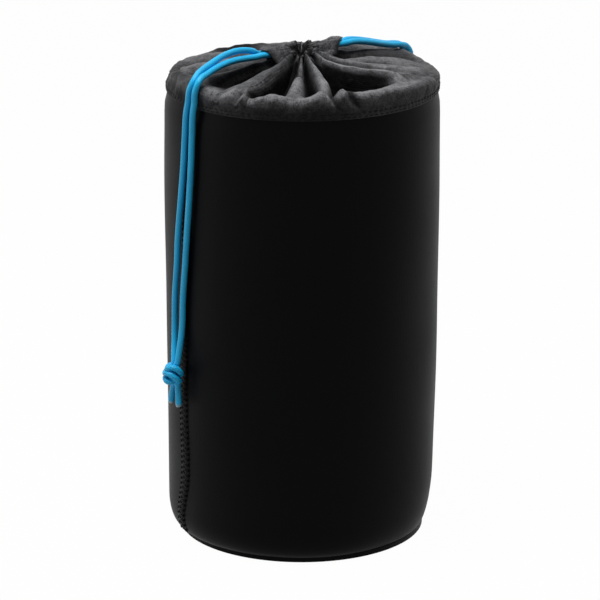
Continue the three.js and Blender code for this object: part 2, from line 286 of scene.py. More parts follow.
# finishes: slow and fine are the scales of the cloth's unevenness, bump is strength and distance
knitLook = {
    "dark": (0.0014, 0.0014, 0.0017),
    "light": (0.003, 0.003, 0.0035),
    "rough": 0.44,
    "roughSpread": 0.16,
    "specular": 0.04,
    "columns": 9.0,
    "slow": 22.0,
    "fine": 700.0,
    "bump": (0.25, 0.00012),
}


def makeKnitFinish(look):
    finish, tree, surface, places = newFinish("smoothKnit", look)
    loops = useGroup(tree, knitGroup, places.outputs["UV"], Columns=look["columns"]).outputs["Height"]
    cloth = handled(tree, places, look)
    paint(tree, surface, layered(tree, [(loops, 0.3), (cloth.outputs["Slow"], 0.7)]), look)
    lowest = look["rough"] - look["roughSpread"] / 2
    rough = mathNode(tree, "MULTIPLY_ADD", cloth.outputs["Slow"], look["roughSpread"], lowest)
    tree.links.new(rough, surface.inputs["Roughness"])
    emboss(tree, surface, layered(tree, [(loops, 1.0), (cloth.outputs["Fine"], 0.5)]), look)
    return finish


nylonLook = {
    "dark": (0.002, 0.002, 0.0025),
    "light": (0.25, 0.25, 0.26),
    "rough": 0.46,
    "roughSpread": 0.2,
    "specular": 0.035,
    "threads": 16.0,
    "heavy": 9.0,
    "slow": 60.0,
    "fine": 1300.0,
    "crush": 140.0,
    "dents": 420.0,
    # strength of the painted shade and highlight on the nylon
    "foldShade": -0.96,
    "bump": (0.6, 0.0003),
}


def makeNylonFinish(look):
    finish, tree, surface, places = newFinish("wovenNylon", look)
    weave = useGroup(tree, weaveGroup, places.outputs["UV"], Threads=look["threads"], Heavy=look["heavy"])
    cloth = handled(tree, places, look)
    crumple = useGroup(tree, mottleGroup, places.outputs["Object"], Slow=look["crush"], Fine=look["dents"])
    speckle = mathNode(tree, "MULTIPLY_ADD", cloth.outputs["Fine"], 4.0, -2.0)
    dents = mathNode(tree, "MULTIPLY_ADD", crumple.outputs["Fine"], 2.0, -1.0)
    tones = [(cloth.outputs["Slow"], 0.5), (weave.outputs["Shade"], 0.3), (speckle, 0.24), (dents, 0.4)]
    folded = tree.nodes.new("ShaderNodeAttribute")  # painted shade inside the folds and on the band, painted highlight on crests and the lip
    folded.attribute_name = "paintedShading"
    lit = mathNode(tree, "MULTIPLY_ADD", folded.outputs["Fac"], look["foldShade"], 1.0)
    paint(tree, surface, mathNode(tree, "MULTIPLY", layered(tree, tones), lit), look)
    rough = mathNode(tree, "MULTIPLY_ADD", speckle, look["roughSpread"], look["rough"])
    tree.links.new(rough, surface.inputs["Roughness"])
    relief = [(weave.outputs["Height"], 1.0), (cloth.outputs["Fine"], 0.8)]
    relief += [(crumple.outputs["Slow"], 7.0), (crumple.outputs["Fine"], 4.0)]
    emboss(tree, surface, layered(tree, relief), look)
    return finish


liningLook = {
    "dark": (0.018, 0.018, 0.02),
    "light": (0.04, 0.04, 0.044),
    "rough": 0.8,
    "specular": 0.3,
    "sheen": 0.35,
    "sheenRough": 0.6,
    "sheenTint": (0.8, 0.8, 0.85, 1),
    "columns": 7.0,
    "slow": 45.0,
    "fine": 1500.0,
    "bump": (0.4, 0.0003),
}


def makeLiningFinish(look):
    finish, tree, surface, places = newFinish("brushedLining", look)
    surface.inputs["Sheen Weight"].default_value = look["sheen"]
    surface.inputs["Sheen Roughness"].default_value = look["sheenRough"]
    surface.inputs["Sheen Tint"].default_value = look["sheenTint"]
    loops = useGroup(tree, knitGroup, places.outputs["UV"], Columns=look["columns"]).outputs["Height"]
    cloth = handled(tree, places, look)
    paint(tree, surface, layered(tree, [(cloth.outputs["Slow"], 0.4), (cloth.outputs["Fine"], 0.6)]), look)
    emboss(tree, surface, mathNode(tree, "ADD", cloth.outputs["Fine"], loops), look)
    return finish


threadLook = {
    "dark": (0.002, 0.002, 0.0024),
    "light": (0.012, 0.012, 0.013),
    "rough": 0.5,
    "specular": 0.08,
    "twist": 900.0,
    "bump": (0.4, 0.0001),
}
# dark dots on the seam: painted shade standing in for the needle holes
holeLook = {
    "dark": (0.0006, 0.0006, 0.0007),
    "light": (0.003, 0.003, 0.0033),
    "rough": 0.7,
    "specular": 0.02,
    "twist": 900.0,
    "bump": (0.4, 0.0001),
}


def makeThreadFinish(name, look):
    finish, tree, surface, places = newFinish(name, look)
    twist = tree.nodes.new("ShaderNodeTexWave")
    twist.bands_direction = "DIAGONAL"
    twist.inputs["Scale"].default_value = look["twist"]
    tree.links.new(places.outputs["Object"], twist.inputs["Vector"])
    paint(tree, surface, twist.outputs["Fac"], look)
    emboss(tree, surface, twist.outputs["Fac"], look)
    return finish


cordLook = {
    "dark": (0.001, 0.17, 0.4),
    "light": (0.008, 0.57, 1.0),
    "rough": 0.4,
    "specular": 0.4,
    "carriers": 8.0,
    "pitch": 5.5,
    "slow": 140.0,
    "fine": 2600.0,
    "bump": (0.5, 0.0003),
}


def makeCordFinish(look):
    finish, tree, surface, places = newFinish("braidedCord", look)
    split = tree.nodes.new("ShaderNodeSeparateXYZ")
    tree.links.new(places.outputs["UV"], split.inputs[0])
    around = mathNode(tree, "MULTIPLY", split.outputs["X"], look["carriers"])
    along = mathNode(tree, "MULTIPLY", split.outputs["Y"], look["pitch"])
    ribs = [ribsOf(tree, mathNode(tree, lean, around, along)) for lean in ("ADD", "SUBTRACT")]
    braid = mathNode(tree, "MAXIMUM", *ribs)
    cloth = handled(tree, places, look)
    tones = [(cloth.outputs["Slow"], 0.3), (braid, 0.65), (cloth.outputs["Fine"], 0.2)]
    paint(tree, surface, layered(tree, tones), look)
    emboss(tree, surface, layered(tree, [(braid, 1.0), (cloth.outputs["Fine"], 0.4)]), look)
    return finish


tipLook = {
    "dark": (0.05, 0.28, 0.42),
    "light": (0.42, 0.62, 0.7),
    "rough": 0.3,
    "specular": 0.5,
    "slow": 700.0,
    "fine": 2400.0,
    "bump": (0.4, 0.0003),
}


def makeTipFinish(look):
    # cut end melted shut
    finish, tree, surface, places = newFinish("sealedTip", look)
    cloth = handled(tree, places, look)
    paint(tree, surface, cloth.outputs["Slow"], look)
    emboss(tree, surface, cloth.outputs["Fine"], look)
    return finish


knitFinish = makeKnitFinish(knitLook)
nylonFinish = makeNylonFinish(nylonLook)
liningFinish = makeLiningFinish(liningLook)
threadFinish = makeThreadFinish("sewingThread", threadLook)
holeFinish = makeThreadFinish("needleHoles", holeLook)
cordFinish = makeCordFinish(cordLook)
tipFinish = makeTipFinish(tipLook)
print("finishes made")


# mesh helpers, with points in mm


def newPiece(name, points, faces, finish):
    mesh = bpy.data.meshes.new(name)
    mesh.from_pydata([point * mm for point in points], [], faces)
    mesh.materials.append(finish)
    piece = bpy.data.objects.new(name, mesh)
    scene.collection.objects.link(piece)
    pick(piece)
    return piece


def layMap(piece, name, corners):
    # a place in cm of cloth or cord for each corner of each face
    chart = piece.data.uv_layers.new(name=name)
    places = [place for face in corners for place in face]
    for loop, place in zip(chart.data, places):
        loop.uv = place


def turnOutwards(piece, weld=False):
    pick(piece)
    bpy.ops.object.mode_set(mode="EDIT")
    bpy.ops.mesh.select_all(action="SELECT")
    if weld:
        bpy.ops.mesh.remove_doubles(threshold=0.00001)
    bpy.ops.mesh.normals_make_consistent(inside=False)
    bpy.ops.object.mode_set(mode="OBJECT")


def finishWith(piece, kind, **settings):
    modifier = piece.modifiers.new(kind.title(), kind)
    for label, value in settings.items():
        setattr(modifier, label, value)
    bpy.ops.object.modifier_apply(modifier=modifier.name)


def lineLength(route):
    return sum((b - a).length for a, b in zip(route, route[1:]))


def lengthsAlong(route, unit=1):
    lengths = [0.0]
    for a, b in zip(route, route[1:]):
        lengths.append(lengths[-1] + (b - a).length / unit)
    return lengths


def clothPiece(name, rows, finish, thickness=0.5, levels=1, closed=False, shadingRows=None):
    # cloth through a grid of points, with a map in centimetres of cloth
    tall, wide = len(rows), len(rows[0])
    spread = lengthsAlong(max(rows, key=lineLength), 10)
    climb = lengthsAlong([row[wide // 2] for row in rows], 10)
    columns = wide - 1 if closed else wide
    faces, corners = [], []
    for i in range(tall - 1):
        for j in range(wide - 1):
            k = (j + 1) % columns
            faces.append((i * columns + j, i * columns + k, (i + 1) * columns + k, (i + 1) * columns + j))
            left, right, low, high = spread[j], spread[j + 1], climb[i], climb[i + 1]
            corners.append(((left, low), (right, low), (right, high), (left, high)))
    piece = newPiece(name, [point for row in rows for point in row[:columns]], faces, finish)
    layMap(piece, "clothMap", corners)
    # painted shade and highlight for each point, stored for the nylon finish
    if shadingRows:
        folded = piece.data.attributes.new("paintedShading", "FLOAT", "POINT")
        folded.data.foreach_set("value", [depth for row in shadingRows for depth in row[:columns]])
    if levels:
        finishWith(piece, "SUBSURF", levels=levels, render_levels=levels, boundary_smooth="PRESERVE_CORNERS")
    if thickness:
        finishWith(piece, "SOLIDIFY", thickness=thickness * mm, offset=-1, use_even_offset=False)
    bpy.ops.object.shade_smooth_by_angle(angle=math.radians(55))
    return piece


def flatArea(rows):
    # one side's area of a grid, in square metres
    total = 0.0
    for i in range(len(rows) - 1):
        for j in range(len(rows[0]) - 1):
            a, b, c, d = rows[i][j], rows[i][j + 1], rows[i + 1][j + 1], rows[i + 1][j]
            total += ((c - a).cross(d - b)).length / 2
    return total * 1e-6


def routeThrough(points, step):
    # even steps along a smooth line through the points
    finer = 24
    points = [Vector(p) for p in points]
    points = [points[0] * 2 - points[1], *points, points[-1] * 2 - points[-2]]
    line = []
    for i in range(1, len(points) - 2):
        p0, p1, p2, p3 = points[i - 1 : i + 3]
        t0, t1 = 0.0, (p1 - p0).length ** 0.5
        t2 = t1 + (p2 - p1).length ** 0.5
        t3 = t2 + (p3 - p2).length ** 0.5
        for k in range(finer):
            t = t1 + (t2 - t1) * k / finer
            a1 = p0 * ((t1 - t) / (t1 - t0)) + p1 * ((t - t0) / (t1 - t0))
            a2 = p1 * ((t2 - t) / (t2 - t1)) + p2 * ((t - t1) / (t2 - t1))
            a3 = p2 * ((t3 - t) / (t3 - t2)) + p3 * ((t - t2) / (t3 - t2))
            b1 = a1 * ((t2 - t) / (t2 - t0)) + a2 * ((t - t0) / (t2 - t0))
            b2 = a2 * ((t3 - t) / (t3 - t1)) + a3 * ((t - t1) / (t3 - t1))
            line.append(b1 * ((t2 - t) / (t2 - t1)) + b2 * ((t - t1) / (t2 - t1)))
    line.append(points[-2])
    lengths = lengthsAlong(line)
    count = max(2, round(lengths[-1] / step))
    route = []
    k = 0
    for n in range(count + 1):
        want = lengths[-1] * n / count
        while k < len(line) - 2 and lengths[k + 1] < want:
            k += 1
        share = (want - lengths[k]) / max(1e-9, lengths[k + 1] - lengths[k])
        route.append(line[k].lerp(line[k + 1], share))
    return route


cordForm = {
    "core": 0.955,  # shares of the radius
    "ribs": 0.06,
    "melted": 1.2,  # length of the melted tip that narrows, and by how much
    "taper": 0.22,
    "cap": 0.35,
}


def cordPiece(name, route, radius, sides=18, loop=False, tip=None):
    # round cord on a route; the braid's ribs stand a little proud, and beyond the length tip it is melted
    f = cordForm
    count = len(route)
    ends = (route[-1], route[0]) if loop else (route[0], route[-1])
    longer = [ends[0], *route, ends[1]]
    tangents = [(after - before).normalized() for before, after in zip(longer, longer[2:])]
    upright = Vector((0.3, 0.2, 1)).cross(tangents[0]).normalized()
    runs = lengthsAlong(route)
    points = []
    for spot, along, run in zip(route, tangents, runs):
        upright = (upright - along * upright.dot(along)).normalized()
        sideways = along.cross(upright)
        lean = run / 10 * cordLook["pitch"]
        for s in range(sides):
            turn = 2 * math.pi * s / sides
            strand = s / sides * cordLook["carriers"]
            ribs = max(abs(math.sin(math.pi * (strand + lean))), abs(math.sin(math.pi * (strand - lean))))
            reach = radius * (f["core"] + f["ribs"] * ribs)
            if tip and run > tip:
                reach *= 1.0 - f["taper"] * min(1, (run - tip) / f["melted"]) ** 2
            points.append(spot + (upright * math.cos(turn) + sideways * math.sin(turn)) * reach)
    faces, corners, melted = [], [], []
    for i in range(count if loop else count - 1):
        after = (i + 1) % count
        low = runs[i] / 10
        high = runs[after] / 10 if after else low + 0.05
        for s in range(sides):
            k = (s + 1) % sides
            faces.append((i * sides + s, i * sides + k, after * sides + k, after * sides + s))
            left, right = s / sides, (s + 1) / sides
            corners.append(((left, low), (right, low), (right, high), (left, high)))
            melted.append(bool(tip) and runs[i] > tip)
    if not loop:
        for ring, order in ((0, -1), (count - 1, 1)):
            middle = len(points)
            points.append(route[ring] + tangents[ring] * (f["cap"] * order))
            for s in range(sides):
                a, b = ring * sides + s, ring * sides + (s + 1) % sides
                faces.append((a, b, middle) if order > 0 else (b, a, middle))
                corners.append(((0, 0), (0.1, 0), (0.05, 0.05)))
                melted.append(bool(tip) and order > 0)
    piece = newPiece(name, points, faces, cordFinish)
    layMap(piece, "cordMap", corners)
    if tip:
        piece.data.materials.append(tipFinish)
        for face, isTip in zip(piece.data.polygons, melted):
            face.material_index = 1 if isTip else 0
    bpy.ops.object.shade_smooth_by_angle(angle=math.radians(60))
    return piece


def joinPieces(name, pieces):
    clearSelection()
    for piece in pieces:
        piece.select_set(True)
    bpy.context.view_layer.objects.active = pieces[0]
    bpy.ops.object.join()
    joined = bpy.context.object
    joined.name = name
    joined.data.name = name
    return joined


def stitchRun(name, stitches, finish):
    # one rounded stitch, modelled once and copied: middle, along, outwards, length, width, height
    clearSelection()
    bpy.ops.mesh.primitive_uv_sphere_add(segments=8, ring_count=5, radius=0.5)
    model = bpy.context.object
    shape = [v.co.copy() for v in model.data.vertices]
    sides = [tuple(f.vertices) for f in model.data.polygons]
    bpy.data.objects.remove(model)
    points, faces = [], []
    for middle, along, outwards, length, width, height in stitches:
        along = along.normalized()
        outwards = (outwards - along * outwards.dot(along)).normalized()
        sideways = outwards.cross(along)
        start = len(points)
        for v in shape:
            blunt = v.z * (1 - 0.25 * abs(2 * v.z)) * length * 1.3
            points.append(middle + along * blunt + sideways * (v.x * width) + outwards * (v.y * height))
        faces += [tuple(start + k for k in side) for side in sides]
    piece = newPiece(name, points, faces, finish)
    turnOutwards(piece)
    bpy.ops.object.shade_smooth()
    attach(piece, "pouch")


# drawcords: routes in a frame with +X outwards over the exit and +Y sideways, as in the part's source
cordSet = {
    "diameter": 2.8,
    "wallTop": 213.0,
    "bandTop": 213.45,
    "inside": 17.0,  # where the strands start in the channel
    "exitRadius": 20.5,
    "exitSideways": 1.2,
    "exitMiddle": 222.43,
    "exitStraight": 1.4,
    "pitch": 3.8,
    "rimRadius": 62.0,
    "rimStandoff": 63.7,
    "rimPress": 0.4,  # how far the strands sink into the soft rim
    "split": 5.0,  # below the top of the wall, where the hanging lengths start
    "bandFoot": 10.6,
    "wallStandoff": 63.25,
    "knotRadius": 67.05,
    "knotSideways": 1.8,
    "knotTop": 125.2,
    "knotHeight": 9.8,
    "knotEntry": 87.5,
    "knotPitch": 3.1,
    "tailGap": 0.3,
    "tailInside": 1.1,
    "tailLength": 10.2,
    "tailSplay": (-3.4, 0.7),
    "tailBow": 0.6,
    "tipLength": 1.3,
    "slideFrom": 82.9,  # heights of the knot's travel, and its turn at the end
    "slideTo": 188.0,
    "slideTurn": 8.2,
    "draw": 105.0,
    # share of the way from the exit to the rim, sideways, above the wall
    "top": {
        "A": [
            [
                (0.1, 0.1, 11), (0.22, 0.9, 12.2), (0.35, 2, 12.5), (0.46, 3.4, 12.1), (0.56, 4.9, 11.4),
                (0.67, 6.8, 10.3), (0.78, 8.7, 9), (0.88, 10.3, 7.5),
            ],
            [
                (0.1, 3.2, 9.1), (0.22, 3.7, 9.2), (0.35, 4.7, 9.3), (0.48, 6.2, 9.1), (0.6, 8.2, 8.6),
                (0.71, 10.3, 7.9), (0.81, 12.2, 6.9), (0.9, 14.0, 6.0),
            ],
        ],
        "B": [
            [(0.18, 0.7, 9.3), (0.37, 2.7, 8.1), (0.57, 5.3, 6.5), (0.74, 7.5, 5.2), (0.88, 9, 4.4)],
            [
                (0.12, 3.4, 9.8), (0.26, 4.7, 9.1), (0.41, 6.6, 7.9), (0.57, 8.8, 6.5), (0.72, 11, 5.2),
                (0.86, 13, 4.4),
            ],
        ],
    },
    "rimRise": {"A": 3.8, "B": 2.8},
    "sag": {"A": 0.0, "B": 1.8},  # the soft rim behind lies a little lower
    # sideways over the rim, at the top of the band, at the split and below the band
    "crossing": {
        "A": [(12, 11.2, 10.1, 8.9), (15.2, 14.9, 14.2, 13.4)],
        "B": [(10, 10, 10, 10), (14.2, 14.2, 14.2, 14.2)],
    },
    # below the top of the wall, sideways
    "drop": {
        "A": [
            [(20, 7.5), (35, 5.9), (50, 3.7), (68.6, 0.7), (80.3, -0.4), (97, -2.8), (112, -3.5)],
            [(19, 12.5), (34, 11.5), (48.6, 10.1), (66.8, 8), (78.5, 6.7), (94.7, 4.6), (110, 3.4)],
        ],
        "B": [
            [(20, 7.3), (35, 5.5), (50, 3.4), (68.6, 0.6), (80.3, -0.4), (97, -2.8), (112, -3.5)],
            [(19, 11.8), (34, 10.8), (48.6, 9.7), (66.8, 7.8), (78.5, 6.6), (94.7, 4.6), (110, 3.4)],
        ],
    },
    "turn": {"A": math.pi, "B": 0.0},
    "gore": {"A": "gore_07", "B": "gore_01"},
    "step": 0.42,
}


def onWall(radius, sideways, height):
    angle = sideways / radius
    return Vector((radius * math.cos(angle), radius * math.sin(angle), height))


def turned(points, angle):
    spin = Matrix.Rotation(angle, 3, "Z")
    return [spin @ Vector(p) for p in points]


def inKnot(strand):
    return cordSet["knotSideways"] + (strand - 0.5) * cordSet["knotPitch"]


def topRoute(letter, strand):
    c = cordSet
    sag = c["sag"][letter]
    bore = c["exitSideways"] + (strand - 0.5) * c["pitch"]
    starts = (c["inside"], c["exitRadius"] + c["exitStraight"])
    points = [Vector((start, bore, c["exitMiddle"])) for start in starts]
    for share, sideways, above in c["top"][letter][strand]:
        reach = c["exitRadius"] + share * (c["rimRadius"] - c["exitRadius"])
        points.append(Vector((reach, sideways, c["wallTop"] + above - sag * smoothStep(0.1, 0.9, share))))
    overRim, atBandTop, atSplit, _ = c["crossing"][letter][strand]
    pressed = c["rimStandoff"] - c["rimPress"]
    points += [
        onWall(c["rimRadius"] - 0.4 * sag, overRim, c["bandTop"] + c["rimRise"][letter] - sag),
        onWall(pressed, atBandTop, c["bandTop"] - sag),
        onWall(pressed, atSplit, c["wallTop"] - c["split"]),
    ]
    return routeThrough(turned(points, c["turn"][letter]), c["step"])


def dropRoute(letter, strand):
    c = cordSet
    _, _, atSplit, belowBand = c["crossing"][letter][strand]
    points = [
        onWall(c["rimStandoff"] - c["rimPress"], atSplit, c["wallTop"] - c["split"]),
        onWall(c["rimStandoff"] - c["rimPress"] / 2, belowBand, c["wallTop"] - c["bandFoot"]),
    ]
    for below, sideways in c["drop"][letter][strand]:
        points.append(onWall(c["wallStandoff"], sideways, c["wallTop"] - below))
    points.append(onWall(c["knotRadius"] - c["diameter"] / 2, inKnot(strand), c["knotEntry"]))
    return routeThrough(turned(points, c["turn"][letter]), c["step"])


# the knot's turns: right, up and nearer as seen across the pouch from its side seam, in mm
knotTurns = [
    (-2.6, 1.7, 0.8), (-1.7, 2.9, 2.2), (0.2, 3.4, 3.0), (2.0, 2.6, 3.0), (3.2, 1.0, 2.0), (3.4, -0.4, 0.2),
    (2.6, -0.6, -2.0), (0.2, 0.1, -3.2), (-2.4, 0.5, -2.2), (-3.4, 0.0, -0.2), (-2.6, 0.5, 1.8),
    (-0.8, 0.2, 3.2), (1.0, -1.1, 3.4), (2.4, -2.5, 2.4), (2.8, -3.3, 0.5), (1.6, -3.2, -1.8),
    (-0.6, -2.6, -2.8), (-2.6, -2.2, -1.6), (-3.3, -2.4, 0.2), (-2.4, -3.3, 1.8), (-0.6, -3.3, 2.3),
    (0.8, -2.4, 1.2), (1.0, -0.5, -0.4), (1.6, 1.6, -1.6), (0.4, 3.0, -2.6), (-1.8, 2.6, -1.8),
]
# the two strands that pass through it: outwards, sideways and up
knotCore = [(-1.4, 1.5, 5.2), (-1.0, 1.2, 3.0), (0, 0.8, 0), (-0.6, 1.2, -3), (-1.4, 1.55, -5.2)]


def knotPiece(letter):
    # overhand knot pulled tight, one line of cord crossing over itself
    c = cordSet
    radius = c["diameter"] / 2
    right, nearer = Vector((-0.866, 0.5, 0)), Vector((0.5, 0.866, 0))
    spots = [right * a + Vector((0, 0, b)) + nearer * d for a, b, d in knotTurns]
    route = routeThrough([*spots, spots[0]], c["step"])[:-1]
    parts = [cordPiece(f"knotTurns{letter}", route, radius, sides=16, loop=True)]
    for side in (-1, 1):
        route = routeThrough([(out, side * sideways, rise) for out, sideways, rise in knotCore], c["step"])
        parts.append(cordPiece(f"knotStrand{letter}{side}", route, radius * 0.98, sides=14))
    knot = joinPieces(f"drawcord{letter}Knot", parts)
    middle = onWall(c["knotRadius"], c["knotSideways"], c["wallTop"] - c["knotTop"] - c["knotHeight"] / 2)
    knot.data.transform(Matrix.Rotation(c["turn"][letter], 4, "Z") @ Matrix.Translation(middle * mm))
    return knot


def tailRoute(letter, strand):
    c = cordSet
    under = c["wallTop"] - c["knotTop"] - c["knotHeight"] - c["tailGap"]
    near = inKnot(strand)
    reach = c["knotRadius"] - c["diameter"] / 2
    splay = c["tailSplay"][strand]
    points = [
        onWall(reach, near, under + c["tailInside"]),
        onWall(reach, near + splay * c["tailBow"], under - c["tailLength"] / 2),
        onWall(reach, near + splay, under - c["tailLength"]),
    ]
    return routeThrough(turned(points, c["turn"][letter]), c["step"])


def makeDrawcord(letter):
    c = cordSet
    low = letter.lower()
    radius = c["diameter"] / 2
    sides = ("left", "right")
    knot = knotPiece(letter)
    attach(knot, f"knot_{low}")
    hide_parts(f"drawcord_{low}_knot")
    for strand, side in enumerate(sides):
        route = tailRoute(letter, strand)
        name = f"drawcord{letter}{side.title()}Tail"
        tail = cordPiece(name, route, radius, tip=lineLength(route) - c["tipLength"])
        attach(tail, f"knot_{low}")
        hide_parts(f"drawcord_{low}_{side}_tail")
    for strand, side in enumerate(sides):
        route = topRoute(letter, strand)
        top = cordPiece(f"drawcord{letter}{side.title()}Top", route, radius)
        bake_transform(top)
        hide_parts(f"drawcord_{low}_{side}_top")
        route = dropRoute(letter, strand)
        drop = cordPiece(f"drawcord{letter}{side.title()}Drop", route, radius)
        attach(drop, "pouch")
        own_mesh(drop)
        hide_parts(f"drawcord_{low}_{side}_drop")


makeDrawcord("A")
makeDrawcord("B")
print("drawcords made")


# padded body; tables go by height or by angle
bodyShape = {
    "radius": 61.0,
    "top": 212.4,
    "crest": 1.4,  # height of the rounded upper edge
    "cornerReach": 5.2,
    "cornerRise": 12.0,
    "lift": 3.0,
    "padding": 3.7,
    "around": 144,
    "rise": 48,
    "fullness": [
        (0, -0.7), (16, -0.8), (35, -0.6), (60, -0.2), (92, 0.2), (130, 0.6), (165, 0.8), (195, 0.6),
        (213, 0.2),
    ],
    "fullSide": 330.0,
    "leastFull": 0.25,
    "cornerSide": 325.0,
    "cornerSlack": 1.9,
    "cornerHeight": 8.0,
    "slackTall": 11.0,
    "slackWide": 50.0,
    "waviness": 0.6,
    "waveAround": 1.6,
    "waveUp": 0.018,
    "stiffSeam": (8, 24),  # degrees from a seam within which the wall lies still
    "sewnFrom": (197, 205),
    "underBand": 0.75,
    "edgeTuck": 0.9,
    "slackFrom": (-4, 6),  # heights over which each of these comes in
    "tuckFrom": (207, 212),
    "lowFrom": (200, 211),
    "sewnRadius": [
        (0, 61.0), (60, 60.8), (120, 60.5), (150, 60.4), (185, 60.9), (215, 61.5), (240, 61.6), (270, 61.6),
        (300, 61.5), (330, 61.3), (360, 61.0),
    ],
    "lowBack": [
        (0, 1.8), (20, 2.0), (60, 3.4), (135, 3.6), (150, 3.0), (165, 1.0), (185, 0.3), (230, 1.0),
        (320, 1.2), (360, 1.8),
    ],
}


def awayFrom(angle, side):
    return abs(aroundTo(angle, side) - side)


def wallOffset(angle, height):
    # how the soft wall stands off a true cylinder
    b = bodyShape
    facing = 0.5 + 0.5 * math.cos(math.radians(awayFrom(angle, b["fullSide"])))
    offset = readTable(b["fullness"], height) * (b["leastFull"] + (1 - b["leastFull"]) * facing)
    tall = math.exp(-(((height - b["cornerHeight"]) / b["slackTall"]) ** 2))
    wide = math.exp(-((awayFrom(angle, b["cornerSide"]) / b["slackWide"]) ** 2))
    offset -= b["cornerSlack"] * tall * wide
    wave = noise.noise(spotAt(b["waveAround"], angle, height * b["waveUp"]))
    free = [smoothStep(*b["stiffSeam"], awayFrom(angle, seam)) for seam in (180, 0)]
    offset = (offset + b["waviness"] * wave) * (0.2 + 0.8 * math.prod(free))
    sewn = readTable(b["sewnRadius"], angle % 360) - b["underBand"] - b["radius"]
    return offset + (sewn - offset) * smoothStep(*b["sewnFrom"], height)


def wallProfile(inset, top):
    b = bodyShape
    corner = b["lift"] + b["cornerRise"]
    line = []
    for k in range(13):
        angle = math.pi / 2 * k / 12
        line.append((
            b["radius"] - b["cornerReach"] + (b["cornerReach"] - inset) * math.sin(angle),
            corner - (b["cornerRise"] - inset) * math.cos(angle),
        ))
    for k in range(1, b["rise"] + 1):
        line.append((b["radius"] - inset, corner + (top - corner) * k / b["rise"]))
    return line


def revolvedRows(profile):
    b = bodyShape
    around = b["around"]
    rows = []
    for radius, height in profile:
        row = []
        for k in range(around + 1):
            angle = 360 * (k % around) / around
            reach = radius + wallOffset(angle, height) * smoothStep(*b["slackFrom"], height)
            reach -= b["edgeTuck"] * smoothStep(*b["tuckFrom"], height)
            low = readTable(b["lowBack"], angle) * smoothStep(*b["lowFrom"], height)
            row.append(spotAt(reach, angle, height - low))
        rows.append(row)
    return rows


def makeBody():
    b = bodyShape
    shoulder = b["top"] - b["crest"]
    half = b["padding"] / 2
    outer, inner = wallProfile(0, shoulder), wallProfile(b["padding"], shoulder)
    crest = []
    for k in range(1, 6):
        angle = math.pi * k / 6
        crest.append((b["radius"] - half + half * math.cos(angle), shoulder + b["crest"] * math.sin(angle)))
    rows = revolvedRows(outer + crest + inner[::-1] + [outer[0]])
    wall = clothPiece("paddedWall", rows, knitFinish, thickness=0, levels=0, closed=True)
    turnOutwards(wall, weld=True)
    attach(wall, "pouch")
    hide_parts("body_outer_knit", "body_foam_core")
    face = revolvedRows(wallProfile(b["padding"] + 0.1, b["top"] - 2.0))
    face = [row[::-1] for row in face]
    lining = clothPiece("wallLining", face, liningFinish, thickness=0.5, levels=0, closed=True)
    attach(lining, "pouch")
    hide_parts("body_lining")


makeBody()
print("padded wall made")


# base, its lining and the tape over the seam's raw edges
baseShape = {
    "radius": 55.4,
    "rounding": 2.9,
    "thick": 3.6,
    "rings": (6, 12, 14, 12),
    "lift": 0.6,  # of the middle off the floor
    "liningRadius": 54.6,
    "liningTop": 4.4,
    "liningThick": 0.6,
    "liningRings": (4, 8, 12, 14, 10),
    "swell": 0.7,
    "swellReach": 52.0,
    "tapeMiddle": 52.95,
    "tapeHeight": 6.75,
    "tapeWide": 2.0,
    "tapeTall": 1.9,
    "tapeAround": 120,
}


def addDisc(name, radius, thick, middle, around):
    clearSelection()
    bpy.ops.mesh.primitive_cylinder_add(
        vertices=around, radius=radius * mm, depth=thick * mm, location=(0, 0, middle * mm),
        end_fill_type="NGON",
    )
    disc = bpy.context.object
    disc.name = name
    bpy.ops.object.transform_apply(location=True, rotation=True, scale=True)
    return disc


def insetRings(widths):
    # rings inside the selected flat faces, so that the cloth can swell
    bpy.ops.object.mode_set(mode="EDIT")
    bpy.ops.mesh.select_mode(type="FACE")
    for width in widths:
        bpy.ops.mesh.inset(thickness=width * mm, depth=0)
    bpy.ops.mesh.select_all(action="DESELECT")
    bpy.ops.object.mode_set(mode="OBJECT")


def coverDisc(disc, finish):
    disc.data.materials.append(finish)
    bpy.ops.object.shade_smooth_by_angle(angle=math.radians(40))
    chart = disc.data.uv_layers.active or disc.data.uv_layers.new(name="clothMap")
    for loop in disc.data.loops:
        spot = disc.data.vertices[loop.vertex_index].co
        chart.data[loop.index].uv = (spot.x * 100, spot.y * 100)


def makeBase():
    b = baseShape
    base = addDisc("basePanel", b["radius"], b["thick"], b["thick"] / 2, 144)
    for edge in base.data.edges:
        edge.select = all(base.data.vertices[v].co.z < 0.0001 for v in edge.vertices)
    bpy.ops.object.mode_set(mode="EDIT")
    bpy.ops.mesh.select_mode(type="EDGE")
    bpy.ops.mesh.bevel(offset=b["rounding"] * mm, segments=7, affect="EDGES")
    bpy.ops.mesh.select_all(action="DESELECT")
    bpy.ops.object.mode_set(mode="OBJECT")
    for face in base.data.polygons:
        face.select = len(face.vertices) > 20
    insetRings(b["rings"])
    for vertex in base.data.vertices:
        reach = math.hypot(vertex.co.x, vertex.co.y) / (b["radius"] * mm)
        if vertex.co.z < 0.0005:
            vertex.co.z += b["lift"] * mm * (1 - min(1, reach / 0.85) ** 2)
    coverDisc(base, knitFinish)
    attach(base, "pouch")
    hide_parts("base_outer_knit", "base_foam_core")


def makeBaseLining():
    b = baseShape
    middle = b["liningTop"] - b["liningThick"] / 2
    lining = addDisc("baseLining", b["liningRadius"], b["liningThick"], middle, 120)
    for face in lining.data.polygons:
        face.select = face.normal.z > 0.9
    insetRings(b["liningRings"])
    for vertex in lining.data.vertices:
        reach = math.hypot(vertex.co.x, vertex.co.y) / mm
        if vertex.co.z > middle * mm and reach < b["swellReach"]:
            vertex.co.z += b["swell"] * mm * math.cos(reach / b["swellReach"] * math.pi / 2)
    coverDisc(lining, liningFinish)
    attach(lining, "pouch")
    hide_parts("base_lining")


